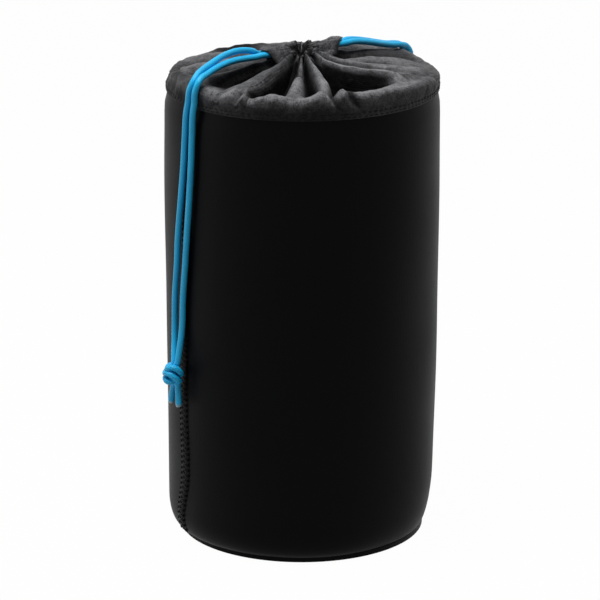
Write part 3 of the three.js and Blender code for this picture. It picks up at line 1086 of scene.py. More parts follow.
def makeSeamTape():
    b = baseShape

    def boxy(value):
        return math.copysign(abs(value) ** 0.7, value)

    rows = []
    for k in range(17):
        angle = 2 * math.pi * k / 16
        row = []
        for n in range(b["tapeAround"] + 1):
            turn = 2 * math.pi * (n % b["tapeAround"]) / b["tapeAround"]
            pucker = 0.14 * math.sin(turn * 34) + 0.1 * math.sin(turn * 21 + 1)
            out = b["tapeMiddle"] + (b["tapeWide"] + pucker * 0.6) * boxy(math.cos(angle))
            high = b["tapeHeight"] + (b["tapeTall"] + pucker) * boxy(math.sin(angle))
            row.append(Vector((out * math.cos(turn), out * math.sin(turn), high)))
        rows.append(row)
    tape = clothPiece("seamTape", rows, nylonFinish, thickness=0, levels=0, closed=True)
    turnOutwards(tape, weld=True)
    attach(tape, "pouch")
    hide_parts("base_seam_binding")


makeBase()
makeBaseLining()
makeSeamTape()
print("base made")


# flat cover seam down the wall
seamShape = {
    "turn": 180.0,
    "half": 3.5,
    "low": 5.0,
    "high": 205.0,
    "rows": 90,
    "proud": 0.42,
    "pitch": 2.55,
    "holes": 2.75,  # sideways from the middle
    "threads": 2.5,
    # degrees by height
    "drift": [
        (5, -4.2), (16, -2.6), (30, 0.8), (42, 1.4), (60, 0.6), (85, 0.7), (110, 1.9), (140, 4.0),
        (205, 5.0),
    ],
}


def wallPoint(angle, height, proud):
    # a point on the knit face and its outward direction
    b = bodyShape
    corner = b["lift"] + b["cornerRise"]
    reach, out = b["radius"], Vector((1, 0, 0))
    if height < corner:
        tip = math.acos(min(1, max(0, (corner - height) / b["cornerRise"])))
        reach = b["radius"] - b["cornerReach"] + b["cornerReach"] * math.sin(tip)
        out = Vector((math.sin(tip) / b["cornerReach"], 0, -math.cos(tip) / b["cornerRise"])).normalized()
    reach += wallOffset(angle, height) * smoothStep(*b["slackFrom"], height)
    spin = Matrix.Rotation(math.radians(angle), 3, "Z")
    out = spin @ out
    return spin @ Vector((reach, 0, height)) + out * proud, out


def seamAngle(height, sideways):
    s = seamShape
    return s["turn"] + readTable(s["drift"], height) + math.degrees(sideways / bodyShape["radius"])


def makeSeam():
    s = seamShape
    climb = s["pitch"]
    rows = []
    for k in range(s["rows"] + 1):
        height = s["low"] + (s["high"] - s["low"]) * (k / s["rows"]) ** 1.25
        row = []
        for j in range(9):
            side = j / 4 - 1
            proud = s["proud"] - 0.3 * abs(side) ** 4 + 0.06 * math.sin(height * 2.46 + j)
            row.append(wallPoint(seamAngle(height, s["half"] * side), height, proud)[0])
        rows.append(row)
    strip = clothPiece("seamStrip", rows, knitFinish, thickness=0.35, levels=1)
    stitches, holes = [], []
    height = s["low"] + 0.8
    while height < s["high"] - 1:
        half = height + climb * 0.5
        for side in (-1, 1):
            spot, out = wallPoint(seamAngle(height, side * s["holes"]), height, 0.5)
            ahead, _ = wallPoint(seamAngle(half, side * s["holes"]), half, 0.5)
            holes.append((spot, ahead - spot, out, climb * 0.62, 0.7, 0.4))
        for lean in (-1, 1):
            first, out = wallPoint(seamAngle(height, -s["threads"] * lean), height - climb * 0.45, 0.62)
            last, _ = wallPoint(seamAngle(half, s["threads"] * lean), height + climb * 0.55, 0.62)
            along = last - first
            stitches.append(((first + last) / 2, along, out, along.length * 0.86, 0.42, 0.34))
        height += climb
    stitchRun("seamThreads", stitches, threadFinish)
    # dark dots of painted shade where the needle holes are
    stitchRun("seamHoles", holes, holeFinish)
    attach(strip, "pouch")
    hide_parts("side_seam")


makeSeam()
print("side seam made")


# gathered collar: fold lines read off the photograph where it shows them, and spaced alike behind
collar = {
    "bandLow": 204.7,
    "bandSplit": 210.4,
    "leanFrom": 207.0,
    "puckerTop": 215.0,
    "rim": 59.7,  # distances from the axis
    "crownRadius": 8.0,
    "ribHeight": 1.4,
    "ribReach": 1.2,
    "roll": 3.0,
    "thickness": 0.45,
    "lip": [
        (0, 213.2), (8, 213.9), (16, 213.6), (30, 212.6), (50, 212.4), (65, 211.9), (80, 212.1),
        (98, 212.3), (106, 211.9), (114, 211.7), (125, 212.1), (133, 212.0), (140, 212.2), (148, 213.0),
        (158, 214.2), (166, 215.8), (172, 216.5), (178, 216.9), (186, 216.2), (192, 215.2), (196, 214.7),
        (200, 213.9), (203.6, 213.3), (207, 214.4), (210.5, 215.7), (212.4, 212.6), (215.1, 214.8),
        (217.6, 213.5), (223, 215.0), (228, 216.0), (232, 215.1), (237, 213.9), (240.7, 214.5),
        (244.4, 215.8), (247.2, 216.8), (250.4, 215.6), (252.9, 213.6), (254.8, 216.6), (256.9, 218.2),
        (259.6, 216.4), (264, 216.2), (270, 216.2), (278, 216.2), (285, 215.8), (296, 215.2), (311, 214.3),
        (315.5, 213.2), (321, 213.2), (330, 212.7), (340, 212.1), (350, 212.0), (360, 213.2),
    ],
    # inwards for each mm above the stitching; below 0 it bulges over it
    "lean": [
        (0, 0.13), (125, 0.16), (140, 0.32), (162, 0.32), (195, -0.06), (300, -0.06), (330, 0.1),
        (360, 0.13),
    ],
    "ridgeHeight": [(8, 220.5), (15, 219.6), (25, 218.4), (38, 216.7), (48, 214.9), (54, 213.4)],
    "valleyHeight": [
        (8, 217.4), (13, 213.6), (20, 209.0), (30, 206.0), (42, 205.0), (49, 206.0), (53, 208.4),
        (56, 210.8),
    ],
    # painted light and shade over the lip by angle: below 0 a painted highlight, above 0 painted shade
    "paintedLighting": [
        (0, 0.0), (60, -0.2), (72, -0.1), (80, 0.9), (102, 0.9), (110, -0.1), (125, -0.1), (140, 0.7),
        (180, 0.65), (205, -0.6), (280, -0.7), (305, 0.0), (330, 0.25), (360, 0.0),
    ],
    # painted shade on the band below the lip, by angle
    "bandShade": [
        (0, 0.4), (130, 0.7), (150, 0.9), (188, 0.9), (200, 0.65), (225, 0.84), (250, 0.84), (275, 0.5),
        (330, 0.4), (360, 0.4),
    ],
    # turn: distance from the axis, angle; height: distance, height
    # flanks: share of the way to the next line at which a fold has come down, on each side
    "folds": {
        1: [{
            "turn": [(8, 4), (25, 5), (42, 6), (59.7, 8)],
            "height": [(8, 220.4), (15, 219.8), (25, 218.6), (38, 216.8), (48, 215.0), (54, 214.0)],
        }],
        2: [{"turn": [(8, 33), (25, 32), (42, 30), (59.7, 31)], "lift": 0.5}],
        3: [{"turn": [(8, 62), (25, 63), (42, 65), (59.7, 63)], "lift": -0.3}],
        4: [{
            "turn": [(8, 93), (25, 92), (42, 90), (59.7, 92)],
            "height": [(8, 220.5), (15, 218.0), (25, 214.0), (38, 210.4), (48, 209.0), (54, 208.6)],
        }],
        5: [{"turn": [(8, 123), (25, 122), (42, 124), (59.7, 123)]}],
        6: [{"turn": [(8, 153), (25, 152), (42, 150), (59.7, 151)], "lift": 0.3}],
        7: [{
            "turn": [(8, 184), (25, 183.5), (42, 183.5), (59.7, 181)],
            "height": [(8, 220.4), (13, 220.0), (21, 219.0), (30, 217.6), (40, 216.6), (52, 216.4)],
            "flanks": (0.9, 0.45),
        }],
        8: [
            {
                "turn": [(8, 213), (20, 215), (34, 215), (50, 214), (55, 212.5), (59.7, 211)],
                "height": [(8, 220.0), (20, 220.2), (34, 219.7), (44, 218.7), (52, 217.2), (56, 216.2)],
                "flanks": (0.75, 1.0),
            },
            {"turn": [(8, 219.5), (20, 222), (42, 221.5), (52, 218.5), (59.7, 214)], "dip": True},
        ],
        9: [
            {
                "turn": [(8, 239), (25, 239), (38, 237.6), (50, 236.5), (59.7, 236)],
                "height": [
                    (8, 219.6), (12, 218.4), (16, 216.2), (19, 213.0), (23, 209.0), (27, 209.6),
                    (31, 214.5), (35, 217.6), (38, 218.2), (44, 217.2), (50, 215.8), (56, 214.4),
                ],
                "flanks": (0.7, 0.9),
            },
            {"turn": [(8, 246.5), (25, 246), (42, 245.8), (52, 245), (59.7, 243.5)], "dip": True},
            {
                "turn": [
                    (8, 255), (16, 254), (25, 253), (37, 252.6), (46, 252.6), (53, 251.5), (59.7, 250),
                ],
                "height": [
                    (8, 221.2), (16, 220.8), (28.8, 220), (37, 218.8), (46, 217.9), (53, 217.3),
                    (57, 216.9),
                ],
                "flanks": (0.95, 0.95),
            },
        ],
        10: [
            {
                "turn": [
                    (8, 276), (15, 270), (22, 270), (28, 271.5), (36, 275.5), (40, 278.5), (48, 284.5),
                    (54, 283), (59.7, 277),
                ],
                "height": [
                    (8, 218.0), (14, 212.8), (22, 207.0), (32, 203.5), (42, 203.0), (48, 204.5),
                    (52, 207.5), (55, 211.5), (57, 214.5),
                ],
                "dip": True,
            },
            {
                "turn": [
                    (8, 283), (15, 276), (22, 276), (28, 277.5), (36, 281.5), (40, 284), (48, 289.5),
                    (51, 293), (54, 294), (59.7, 293),
                ],
                "height": [
                    (8, 221.4), (17, 220.4), (28, 220.3), (40, 220.4), (48, 219.8), (51, 218.9),
                    (54, 217.4), (57, 216.2),
                ],
                "flanks": (1.0, 0.7),
            },
        ],
        11: [
            {
                "turn": [
                    (8, 297), (25, 295), (42, 298.5), (48, 299), (52, 299.5), (55, 302), (57.5, 306),
                    (59.7, 311),
                ],
                "height": [
                    (8, 219.0), (18, 216.5), (28, 215.8), (40, 216.9), (48, 217.5), (52, 218.0),
                    (55, 217.3), (57.5, 216.0),
                ],
            },
            {
                "turn": [
                    (8, 300), (25, 298.5), (42, 301), (48, 302.5), (52, 304), (55, 307), (57.5, 311),
                    (59.7, 315.5),
                ],
                "height": [
                    (8, 219.3), (18, 216.8), (28, 215.9), (40, 216.6), (48, 216.6), (52, 215.4),
                    (55, 214.2), (57.5, 213.4),
                ],
                "dip": True,
            },
            {
                "turn": [(8, 306), (25, 304), (42, 306), (50, 310), (55, 315), (59.7, 321)],
                "height": [(8, 221.2), (18, 219.6), (28, 218.8), (38, 218.4), (48, 218.0), (54, 216.6)],
                "flanks": (1.0, 1.0),
            },
        ],
        12: [{
            "turn": [(8, 339), (25, 342), (42, 343), (59.7, 339)],
            "height": [
                (8, 219.2), (12, 217.0), (16, 216.0), (22, 216.6), (30, 217.2), (38, 216.7), (48, 214.9),
                (54, 213.4),
            ],
            "flanks": (0.9, 0.7),
        }],
    },
    "valleys": {
        1: {"turn": [(8, 20), (25, 20), (42, 19), (59.7, 18)]},
        2: {"turn": [(8, 48), (25, 49), (42, 48), (59.7, 47)]},
        3: {"turn": [(8, 78), (25, 77), (42, 77), (59.7, 78)]},
        4: {"turn": [(8, 108), (25, 108), (42, 107), (59.7, 108)]},
        5: {"turn": [(8, 139), (25, 138), (42, 137), (59.7, 138)]},
        6: {"turn": [(8, 168), (25, 168), (42, 167), (59.7, 168)]},
        7: {
            "turn": [(8, 199), (25, 199), (42, 198), (59.7, 197.5)],
            "height": [
                (8, 219.0), (13, 217.8), (18, 216.4), (22, 214.2), (26, 211.2), (31, 208.8), (37, 208.8),
                (43, 210.8), (49, 212.6), (54, 213.8),
            ],
        },
        8: {"turn": [(8, 227), (25, 228), (42, 227), (59.7, 226)]},
        9: {"turn": [(8, 262), (25, 261), (42, 259), (50, 257), (59.7, 253.6)]},
        10: {
            "turn": [(8, 294), (20, 291), (40, 294.5), (48, 297), (52, 297.5), (55, 298), (59.7, 298)],
            "height": [
                (8, 218.8), (17, 216.4), (26, 215.4), (40, 216.6), (48, 217.2), (51, 217.8), (53, 217.9),
                (55, 217.2), (57, 216.2),
            ],
        },
        11: {
            "turn": [(8, 321), (25, 320), (42, 319.5), (50, 321), (59.7, 328)],
            "height": [(8, 218.4), (18, 215), (28, 213.4), (40, 213.2), (48, 213.8), (54, 214.2)],
        },
        12: {"turn": [(8, 351), (25, 351), (42, 350), (59.7, 350)]},
    },
    "puckers": [  # angle at the lip, angle at the stitching, outward rise, width
        (256.4, 260.5, 2.6, 1.6), (260.6, 265.5, -3.0, 1.6), (252.9, 256.0, -1.6, 1.2),
        (212.4, 212.8, -1.3, 0.8), (217.0, 216.6, -1.9, 0.6), (215.0, 216.0, 1.0, 1.2),
        (209.5, 209.8, 0.8, 1.4), (228.5, 229.0, 0.7, 2.6), (237.0, 236.5, -0.8, 1.8),
        (246.5, 246.5, 0.9, 2.0), (283.0, 285.5, 0.6, 3.0), (203.5, 204.0, -0.9, 2.2),
        (189.0, 190.0, 0.4, 2.5), (171.0, 172.0, -0.6, 2.0), (300.0, 301.0, -0.4, 3.0),
        (224.5, 224.0, -0.5, 1.3), (234.0, 233.6, -0.5, 1.4), (206.5, 207.0, 0.5, 1.6),
        (271.0, 272.5, 0.5, 2.2), (277.0, 278.0, -0.5, 1.8), (293.0, 294.0, 0.4, 2.2),
        (318.0, 316.5, -0.7, 2.0), (350.0, 349.0, -0.7, 2.2), (20.0, 20.5, -0.8, 2.0),
        (47.0, 46.0, -0.7, 2.2), (78.0, 78.5, -0.8, 2.0), (108.0, 107.0, -0.6, 2.4),
        (138.0, 138.5, -0.8, 2.0), (62.0, 62.5, 0.5, 3.0), (122.0, 121.5, 0.5, 3.0), (30.0, 30.5, 0.4, 3.0),
        (336.0, 335.5, 0.4, 3.0), (8.0, 8.5, 0.5, 3.0), (92.0, 92.5, 0.4, 3.0), (147.0, 147.5, -1.4, 8.0),
    ],
    "shade": {1: 0.7, 4: 0.9},  # painted shade over whole gores: under cord B on gore 1, and a dark patch at the back on gore 4
    "deepToRim": (8, 9, 10),  # gores whose painted fold shade reaches out to the rim
    # painted shade on the sides of folds by gore: where the shade rises and falls across it and along it,
    # and its depth
    "hollows": {
        7: {"across": ((0.38, 0.5), (1.1, 1.2)), "along": ((19, 25), (49, 55)), "depth": 0.9},
        10: {"across": ((0.32, 0.4), (0.59, 0.65)), "along": ((13, 19), (49, 55)), "depth": 1.0},
    },
    # painted highlight on the fold crests by gore, 0.8 where none is named; below 0 painted shade
    "paintedCrestLight": {7: 0.1, 8: -0.3, 9: 0.6, 10: 1.1, 11: 0.5, 12: 0.5},
    "columns": {8: 20, 9: 22, 10: 26, 11: 20},  # across each side of a fold, 14 where none is named
    "tipTwist": [2, -4, 4, -2, 3, -4, 3, -3, 4, -2, 3, -4],
    "tipLift": [0.1, 0.5, -0.4, 0.4, -0.4, 0.2, -1.5, -3.4, -4.0, -3.4, -1.2, -0.2],
}
gores = 12
goreTurn = 360 / gores


def lipHeight(angle):
    return readTable(collar["lip"], angle % 360)


def bandReach(angle, height):
    lean = readTable(collar["lean"], angle % 360)
    return readTable(bodyShape["sewnRadius"], angle % 360) - lean * max(0.0, height - collar["leanFrom"])


def crestReach(angle):
    return bandReach(angle, lipHeight(angle) - collar["roll"]) - collar["roll"]


def puckerAt(angle, height):
    # puckers of the band and the lip above its stitching
    share = smoothStep(206.0, collar["puckerTop"], height)
    total = 0.0
    for high, low, rise, width in collar["puckers"]:
        middle = low + (high - low) * share
        away = aroundTo(angle, middle) - middle
        if abs(away) < 4 * width:
            total += rise * math.exp(-((away / width) ** 2)) * (0.03 + 0.97 * share)
    return total


# slow to fine creases of the cloth: scale, shift of the pattern, height
wrinkles = [(0.14, (0, 0, 0), 0.55), (0.33, (0, 0, 40), 0.3), (0.75, (30, 0, 0), 0.12)]


def wrinkleAt(spot, radius):
    crease = sum(noise.noise((spot + Vector(shift)) * scale) * height for scale, shift, height in wrinkles)
    turn = math.atan2(spot.y, spot.x)
    ray = noise.noise(Vector((math.cos(turn) * 9, math.sin(turn) * 9, radius * 0.035)))
    fine = noise.noise(Vector((math.cos(turn) * 24, math.sin(turn) * 24, radius * 0.03 + spot.z * 0.04)))
    crease += fine * 0.22 * smoothStep(54, 59, radius)
    return crease + ray * 0.55 * window((6, 14), (30, 52), radius)


def lineAt(fold, radius, dip):
    table = fold.get("height") or (collar["valleyHeight"] if dip else collar["ridgeHeight"])
    height = readTable(table, min(radius, table[-1][0])) + fold.get("lift", 0.0)
    return readTable(fold["turn"], radius), height


def goreLines(number, radius):
    # the fold lines of one gore from its left valley to its right one: angle, height, is a valley, flanks
    left, right = collar["valleys"][number - 1 or gores], collar["valleys"][number]
    angle, height = lineAt(left, radius, True)
    lines = [(angle - 360 if number == 1 else angle, height, True, (1, 1))]
    for fold in collar["folds"][number]:
        dip = fold.get("dip", False)
        lines.append((*lineAt(fold, radius, dip), dip, fold.get("flanks", (0.85, 0.8))))
    lines.append((*lineAt(right, radius, True), True, (1, 1)))
    return lines


def acrossGore(number, radius, share):
    # angle, height, how far up the fold and how deep it is, at a share of the way across
    lines = goreLines(number, radius)
    count = len(lines) - 1
    k = min(count - 1, int(share * count))
    t = share * count - k
    (a0, h0, dip0, flanks0), (a1, h1, dip1, flanks1) = lines[k], lines[k + 1]
    angle = a0 + (a1 - a0) * t
    if dip0 == dip1:
        height = h0 + (h1 - h0) * smoothStep(0, 1, t)
        return (angle, height, 0.0, 9.0) if dip0 else (angle, height, 1.0, 0.0)
    if dip0:
        valley, ridge, away = h0, h1, (1 - t) / flanks1[0]
    else:
        valley, ridge, away = h1, h0, t / flanks0[1]
    up = 1 - min(1.0, away) ** 2.6
    return angle, valley + (ridge - valley) * up, up, abs(h1 - h0)


# the crown by the share of the way up to its middle
crownRidge = {
    "out": [(0, 8.0), (0.2, 7.5), (0.4, 7.2), (0.6, 7.2), (0.75, 6.5), (0.88, 4.8), (1, 3.2)],
    "up": [(0.4, 222.2), (0.6, 223.8), (0.75, 224.6), (0.88, 224.0), (1, 221.0)],
}
crownValley = {
    "out": [(0, 8.0), (0.2, 6.4), (0.4, 5.4), (0.6, 5.0), (0.75, 4.2), (0.88, 2.9), (1, 1.6)],
    "up": [(0.4, 220.6), (0.6, 222.6), (0.75, 223.6), (0.88, 222.8), (1, 219.5)],
}


def gatherRibs(number, share):
    # the cloth's fine ribs where the cord pulls it together
    place = share + 0.07 * math.sin(2 * math.pi * share) * math.sin(number * 1.9)
    return math.cos(2 * math.pi * (2 * place + 0.5)) * (0.75 + 0.25 * math.sin(number * 2.4 + 5 * share))


def lipSpot(number, kind, place, share):
    # on the band above its seam, or on the roll of the lip
    angle = acrossGore(number, collar["rim"], share)[0]
    roll = collar["roll"]
    foot = lipHeight(angle) - roll
    if kind == "rise":
        lean = 0.0
        height = collar["bandSplit"] + (foot - collar["bandSplit"]) * place
        radius = bandReach(angle, height)
    else:
        lean = place
        height = foot + roll * math.sin(place)
        radius = bandReach(angle, foot) - roll * (1 - math.cos(place))
    spot = spotAt(radius + puckerAt(angle, height), angle, height)
    return spot + spotAt(math.cos(lean), angle, math.sin(lean)) * wrinkleAt(spot, 60)


def topSpot(number, place, share):
    # on the gathered top, at a distance from the axis
    rim = collar["rim"]
    angle, height, _, _ = acrossGore(number, place, share)
    pucker = puckerAt(angle, collar["puckerTop"])
    height += (lipHeight(angle) - height) * smoothStep(53.5, rim, place)
    height += pucker * 0.5 * smoothStep(54, rim, place)
    height += gatherRibs(number, share) * collar["ribHeight"] * (1 - smoothStep(10, 24, place))
    reach = place * (1 + (crestReach(angle) / rim - 1) * smoothStep(44, rim, place))
    spot = spotAt(reach, angle, height)
    spot.z += wrinkleAt(spot, place)
    return spot + spotAt(1, angle, 0) * (pucker * smoothStep(56, rim, place))


def crownSpot(number, place, share):
    # in the tight ribs round the middle
    start = collar["crownRadius"]
    angle, height, up, _ = acrossGore(number, start, share)
    ribs = gatherRibs(number, share)
    height += wrinkleAt(spotAt(start, angle, height), start) + ribs * collar["ribHeight"]
    out = readTable(crownRidge["out"], place) * up + readTable(crownValley["out"], place) * (1 - up)
    out += ribs * collar["ribReach"] * window((0, 0.3), (0.8, 1), place)
    lift = collar["tipLift"][number - 1]
    high = [(0, height), (0.2, height + 1.0)]
    for (p, ridge), (_, valley) in zip(crownRidge["up"], crownValley["up"]):
        high.append((p, ridge * up + valley * (1 - up) + lift * smoothStep(0.2, 0.7, p)))
    twist = collar["tipTwist"][number - 1] * place * (0.3 + up)
    return spotAt(out, angle + twist, readTable(high, place))


def goreSpot(number, row, share):
    kind, place = row
    if kind == "top":
        return topSpot(number, place, share)
    if kind == "crown":
        return crownSpot(number, place, share)
    return lipSpot(number, kind, place, share)


# rows of a gore: share of the rise, angle of the roll, distance from the axis, share of the crown
nearRim = [58.9, 58, 57, 56, 55, 54, 53, 51.8, 50.5, 49, 47.5]
nearCrown = [18.2, 16.5, 15, 13.5, 12.2, 11, 10, 9, 8]
collarRows = [("rise", k / 2) for k in range(3)]
collarRows += [("roll", math.pi / 2 * k / 6) for k in range(1, 7)]
collarRows += [("top", distance) for distance in [*nearRim, *range(46, 18, -2), *nearCrown]]
collarRows += [("crown", k / 12) for k in range(1, 13)]


def paintedBandShading(angle, height):
    # painted shade on the band above its stitches and in its creases, and painted highlight over the lip,
    # painted shade where the lip table is above 0
    lip = lipHeight(angle)
    crease = min(0.9, max(0.0, -0.85 * puckerAt(angle, height) - 0.2))
    shade = readTable(collar["bandShade"], angle % 360)
    lipLighting = readTable(collar["paintedLighting"], angle % 360)
    deepest = 3.5 if lipLighting > 0 else 2.2
    lipLighting *= smoothStep(lip - deepest, lip + 0.1 * deepest - 0.5, height)
    plain = shade * (1 - smoothStep(209.0, lip - 1.2, height)) + lipLighting
    return plain + (1 - plain) * crease


def paintedShading(number, row, share, spot):
    # painted highlight below 0 on the ridges and the lip, painted shade up to 1 deep in a fold
    c = collar
    kind, place = row
    angle, _, up, drop = acrossGore(number, place if kind == "top" else c["rim"], share)
    if kind in ("rise", "roll"):
        return paintedBandShading(angle, spot.z)
    rib = gatherRibs(number, share)
    # painted shade in the gaps between the crown's ribs, painted highlight on their tops
    gather = min(1.0, 1.3 * max(0.0, -rib)) - 0.4 * max(0.0, rib)
    if kind == "crown":
        return gather
    # painted shade low down in the folds and on their lower flanks
    deep = 1 - smoothStep(208.5, 216.5, spot.z)
    deep = max(deep, (1 - smoothStep(0.52, 0.97, up)) * (0.35 + 0.65 * smoothStep(2, 6, drop)))
    if number not in c["deepToRim"]:
        deep *= 1 - 0.6 * smoothStep(32, 55, place)
    if number in c["hollows"]:
        hollow = c["hollows"][number]
        inside = window(*hollow["across"], share) * window(*hollow["along"], place)
        deep = max(deep, hollow["depth"] * inside)
    # painted highlight on the crests
    deep -= c["paintedCrestLight"].get(number, 0.8) * smoothStep(0.8, 1, up) * smoothStep(214, 219, spot.z)
    rim = smoothStep(54.5, 59.0, place)
    # painted shade over whole gores
    if number in c["shade"]:
        inside = window((0, 0.3), (0.7, 1), share)
        deep = max(deep, c["shade"][number] * smoothStep(16, 34, place) * (0.4 + 0.6 * inside))
        rim = smoothStep(57.4, 59.5, place)
    deep += (max(deep, gather) - deep) * (1 - smoothStep(9, 18, place))
    # painted light and shade of the band and lip near the rim
    edge = paintedBandShading(angle, max(spot.z, lipHeight(angle)))
    return min(1.0, deep * (1 - rim) + edge * rim)


def makeGore(number):
    columns = collar["columns"].get(number, 14) * (len(collar["folds"][number]) + 1)
    shares = [j / columns for j in range(columns + 1)]
    rows, shadingRows = [], []
    for row in collarRows:
        spots = [goreSpot(number, row, share) for share in shares]
        rows.append(spots)
        # painted shade and highlight for each point of the gore
        shadingRows.append([paintedShading(number, row, share, spot) for share, spot in zip(shares, spots)])
    piece = clothPiece(f"collarGore{number:02d}", rows, nylonFinish, collar["thickness"], 1, shadingRows=shadingRows)
    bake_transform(piece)
    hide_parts(f"collar_gore_{number:02d}")
    area = flatArea(rows)
    return area


pleatShape = {
    "slope": 58.0,
    "reach": 0.5,  # width for each mm in from the rim
    "rim": 59.9,
    "spare": 3.0,
    "thickness": 0.45,
    "distances": (53, 51, 48.5, 46, 43, 40, 37, 34, 31, 28, 25, 22, 19, 16, 13, 10.5, 8.5, 6.5, 5),
    "underGore": (0.93, 0.96, 0.985),  # shares across the gore that it hangs from
    "across": (0.08, 0.18, 0.3, 0.42, 0.54, 0.66, 0.78, 0.9, 1.0),
    "below": 2.0,
    "edgeBelow": 0.9,
    "sag": 0.9,
}


def makePleat(number):
    p = pleatShape
    middle = math.radians(goreTurn * (number - 1))
    out = Vector((math.cos(middle), math.sin(middle), 0))
    side = Vector((-math.sin(middle), math.cos(middle), 0))
    slope = math.radians(p["slope"])
    down = side * math.cos(slope) - Vector((0, 0, 1)) * math.sin(slope)
    start = collar["crownRadius"]
    rows = []
    for radius in p["distances"]:
        place = max(start, radius)
        row = [topSpot(number, place, share) + Vector((0, 0, -p["below"])) for share in p["underGore"]]
        edge = topSpot(number, place, 1.0) + Vector((0, 0, -p["edgeBelow"]))
        row.append(edge)
        width = p["reach"] * (p["rim"] - radius) + p["spare"]
        for share in p["across"]:
            sag = p["sag"] * math.sin(math.pi * share) * smoothStep(2, 14, width)
            spot = edge + down * (width * share) - out * sag * 0.3
            spot += down.cross(out) * (noise.noise(spot * 0.09) * 0.8 * share)
            row.append(spot)
        if radius < start:
            row = [spot - out * (start - radius) for spot in row]
        rows.append(row)
    piece = clothPiece(f"collarPleat{number:02d}", rows, nylonFinish, p["thickness"], 1)
    hold = topSpot(number, 30, 1.0)
    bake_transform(piece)
    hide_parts(f"collar_pleat_{number:02d}")
    area = flatArea(rows)
    return area


cloth = [makeGore(number) for number in range(1, gores + 1)]
tucked = [makePleat(number) for number in range(1, gores + 1)]
print("collar made, cloth in square mm:", round(sum(cloth) * 1e6), round(sum(tucked) * 1e6))


# the collar's lower edge, sewn round the wall with two rows of stitches
bandShape = {
    "rows": 9,
    "around": 480,
    "thickness": 0.5,
    "hem": 0.5,
    "stitchRows": (207.1, 205.5),
    "stitchPitch": 2.75,
    "stitchSink": 0.22,
    "stitchWidth": 0.55,
    "stitchRadius": 62,
    "offset": (0, 0.6),  # degrees by which the rows of stitches are apart
    "wander": 0.12,
    "ripple": 0.12,
}


def bandSpot(angle, height):
    b = bandShape
    hem = smoothStep(collar["bandLow"], 206.0, height)
    sewn = sum(math.exp(-(((height - row) / b["stitchWidth"]) ** 2)) for row in b["stitchRows"])
    sunk = b["hem"] * (1 - hem) + b["stitchSink"] * sewn
    spot = spotAt(bandReach(angle, height) - sunk + puckerAt(angle, height), angle, height)
    bulge = wrinkleAt(spot, 60) * smoothStep(204.5, collar["bandSplit"], height)
    bulge += b["ripple"] * math.sin(math.radians(angle) * 141) * math.exp(-(((height - 206.3) / 1.2) ** 2))
    return spot + spotAt(1, angle, 0) * bulge


def makeBand():
    b = bandShape
    angles = [360 * (j % b["around"]) / b["around"] for j in range(b["around"] + 1)]
    rows, shadingRows = [], []
    for k in range(b["rows"] + 1):
        height = collar["bandLow"] + (collar["bandSplit"] - collar["bandLow"]) * k / b["rows"]
        rows.append([bandSpot(angle, height) for angle in angles])
        # painted shade and highlight for each point of the band
        shadingRows.append([paintedBandShading(angle, height) for angle in angles])
    band = clothPiece("collarBand", rows, nylonFinish, b["thickness"], 0, closed=True, shadingRows=shadingRows)
    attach(band, "pouch")
    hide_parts("collar_band")
    stitches = []
    count = round(2 * math.pi * b["stitchRadius"] / b["stitchPitch"])
    for height, offset in zip(b["stitchRows"], b["offset"]):
        for n in range(count):
            angle = 360 * n / count + offset
            wander = height + b["wander"] * noise.noise(Vector((n * 0.37, height, 0)))
            spot, ahead = bandSpot(angle, wander), bandSpot(angle + 1, wander)
            out = spotAt(1, angle, 0)
            stitches.append((spot + out * 0.12, ahead - spot, out, b["stitchPitch"] * 0.7, 0.5, 0.5))
    stitchRun("bandStitches", stitches, threadFinish)


makeBand()
print("band made")


# channel mouths: the hem arches over the cords where they leave the gathers, and lies down on both sides
channelShape = {
    "gore": {"A": 7, "B": 1},
    "front": {"A": 1, "B": -1},  # the side that faces the front
    "start": 7.0,
    "mouth": 21.2,
    "half": 6.0,
    "slope": 1.2,
    "top": 224.9,
    "middle": 1.2,
    "above": 0.12,
    "ribHeight": 0.8,
    "ribs": 16.5,
    # painted highlight over each mouth
    "paintedLighting": {"A": 0.1, "B": 0.6},
    # painted shade at the front edge of each mouth
    "hemShade": 0.97,
    "thickness": 0.45,
    "across": 44,
    "along": 16,
}


def clothHeight(number, radius, angle):
    # height of the cloth under a point on a gore or the one beside it, found across it by its angle
    lines = goreLines(number, radius)
    near = number
    if angle > lines[-1][0]:
        near = number % gores + 1
    elif angle < lines[0][0]:
        near = (number - 2) % gores + 1
    low, high = 0.0, 1.0
    for _ in range(24):
        middle = (low + high) / 2
        if aroundTo(acrossGore(near, radius, middle)[0], angle) < angle:
            low = middle
        else:
            high = middle
    return topSpot(near, radius, low).z


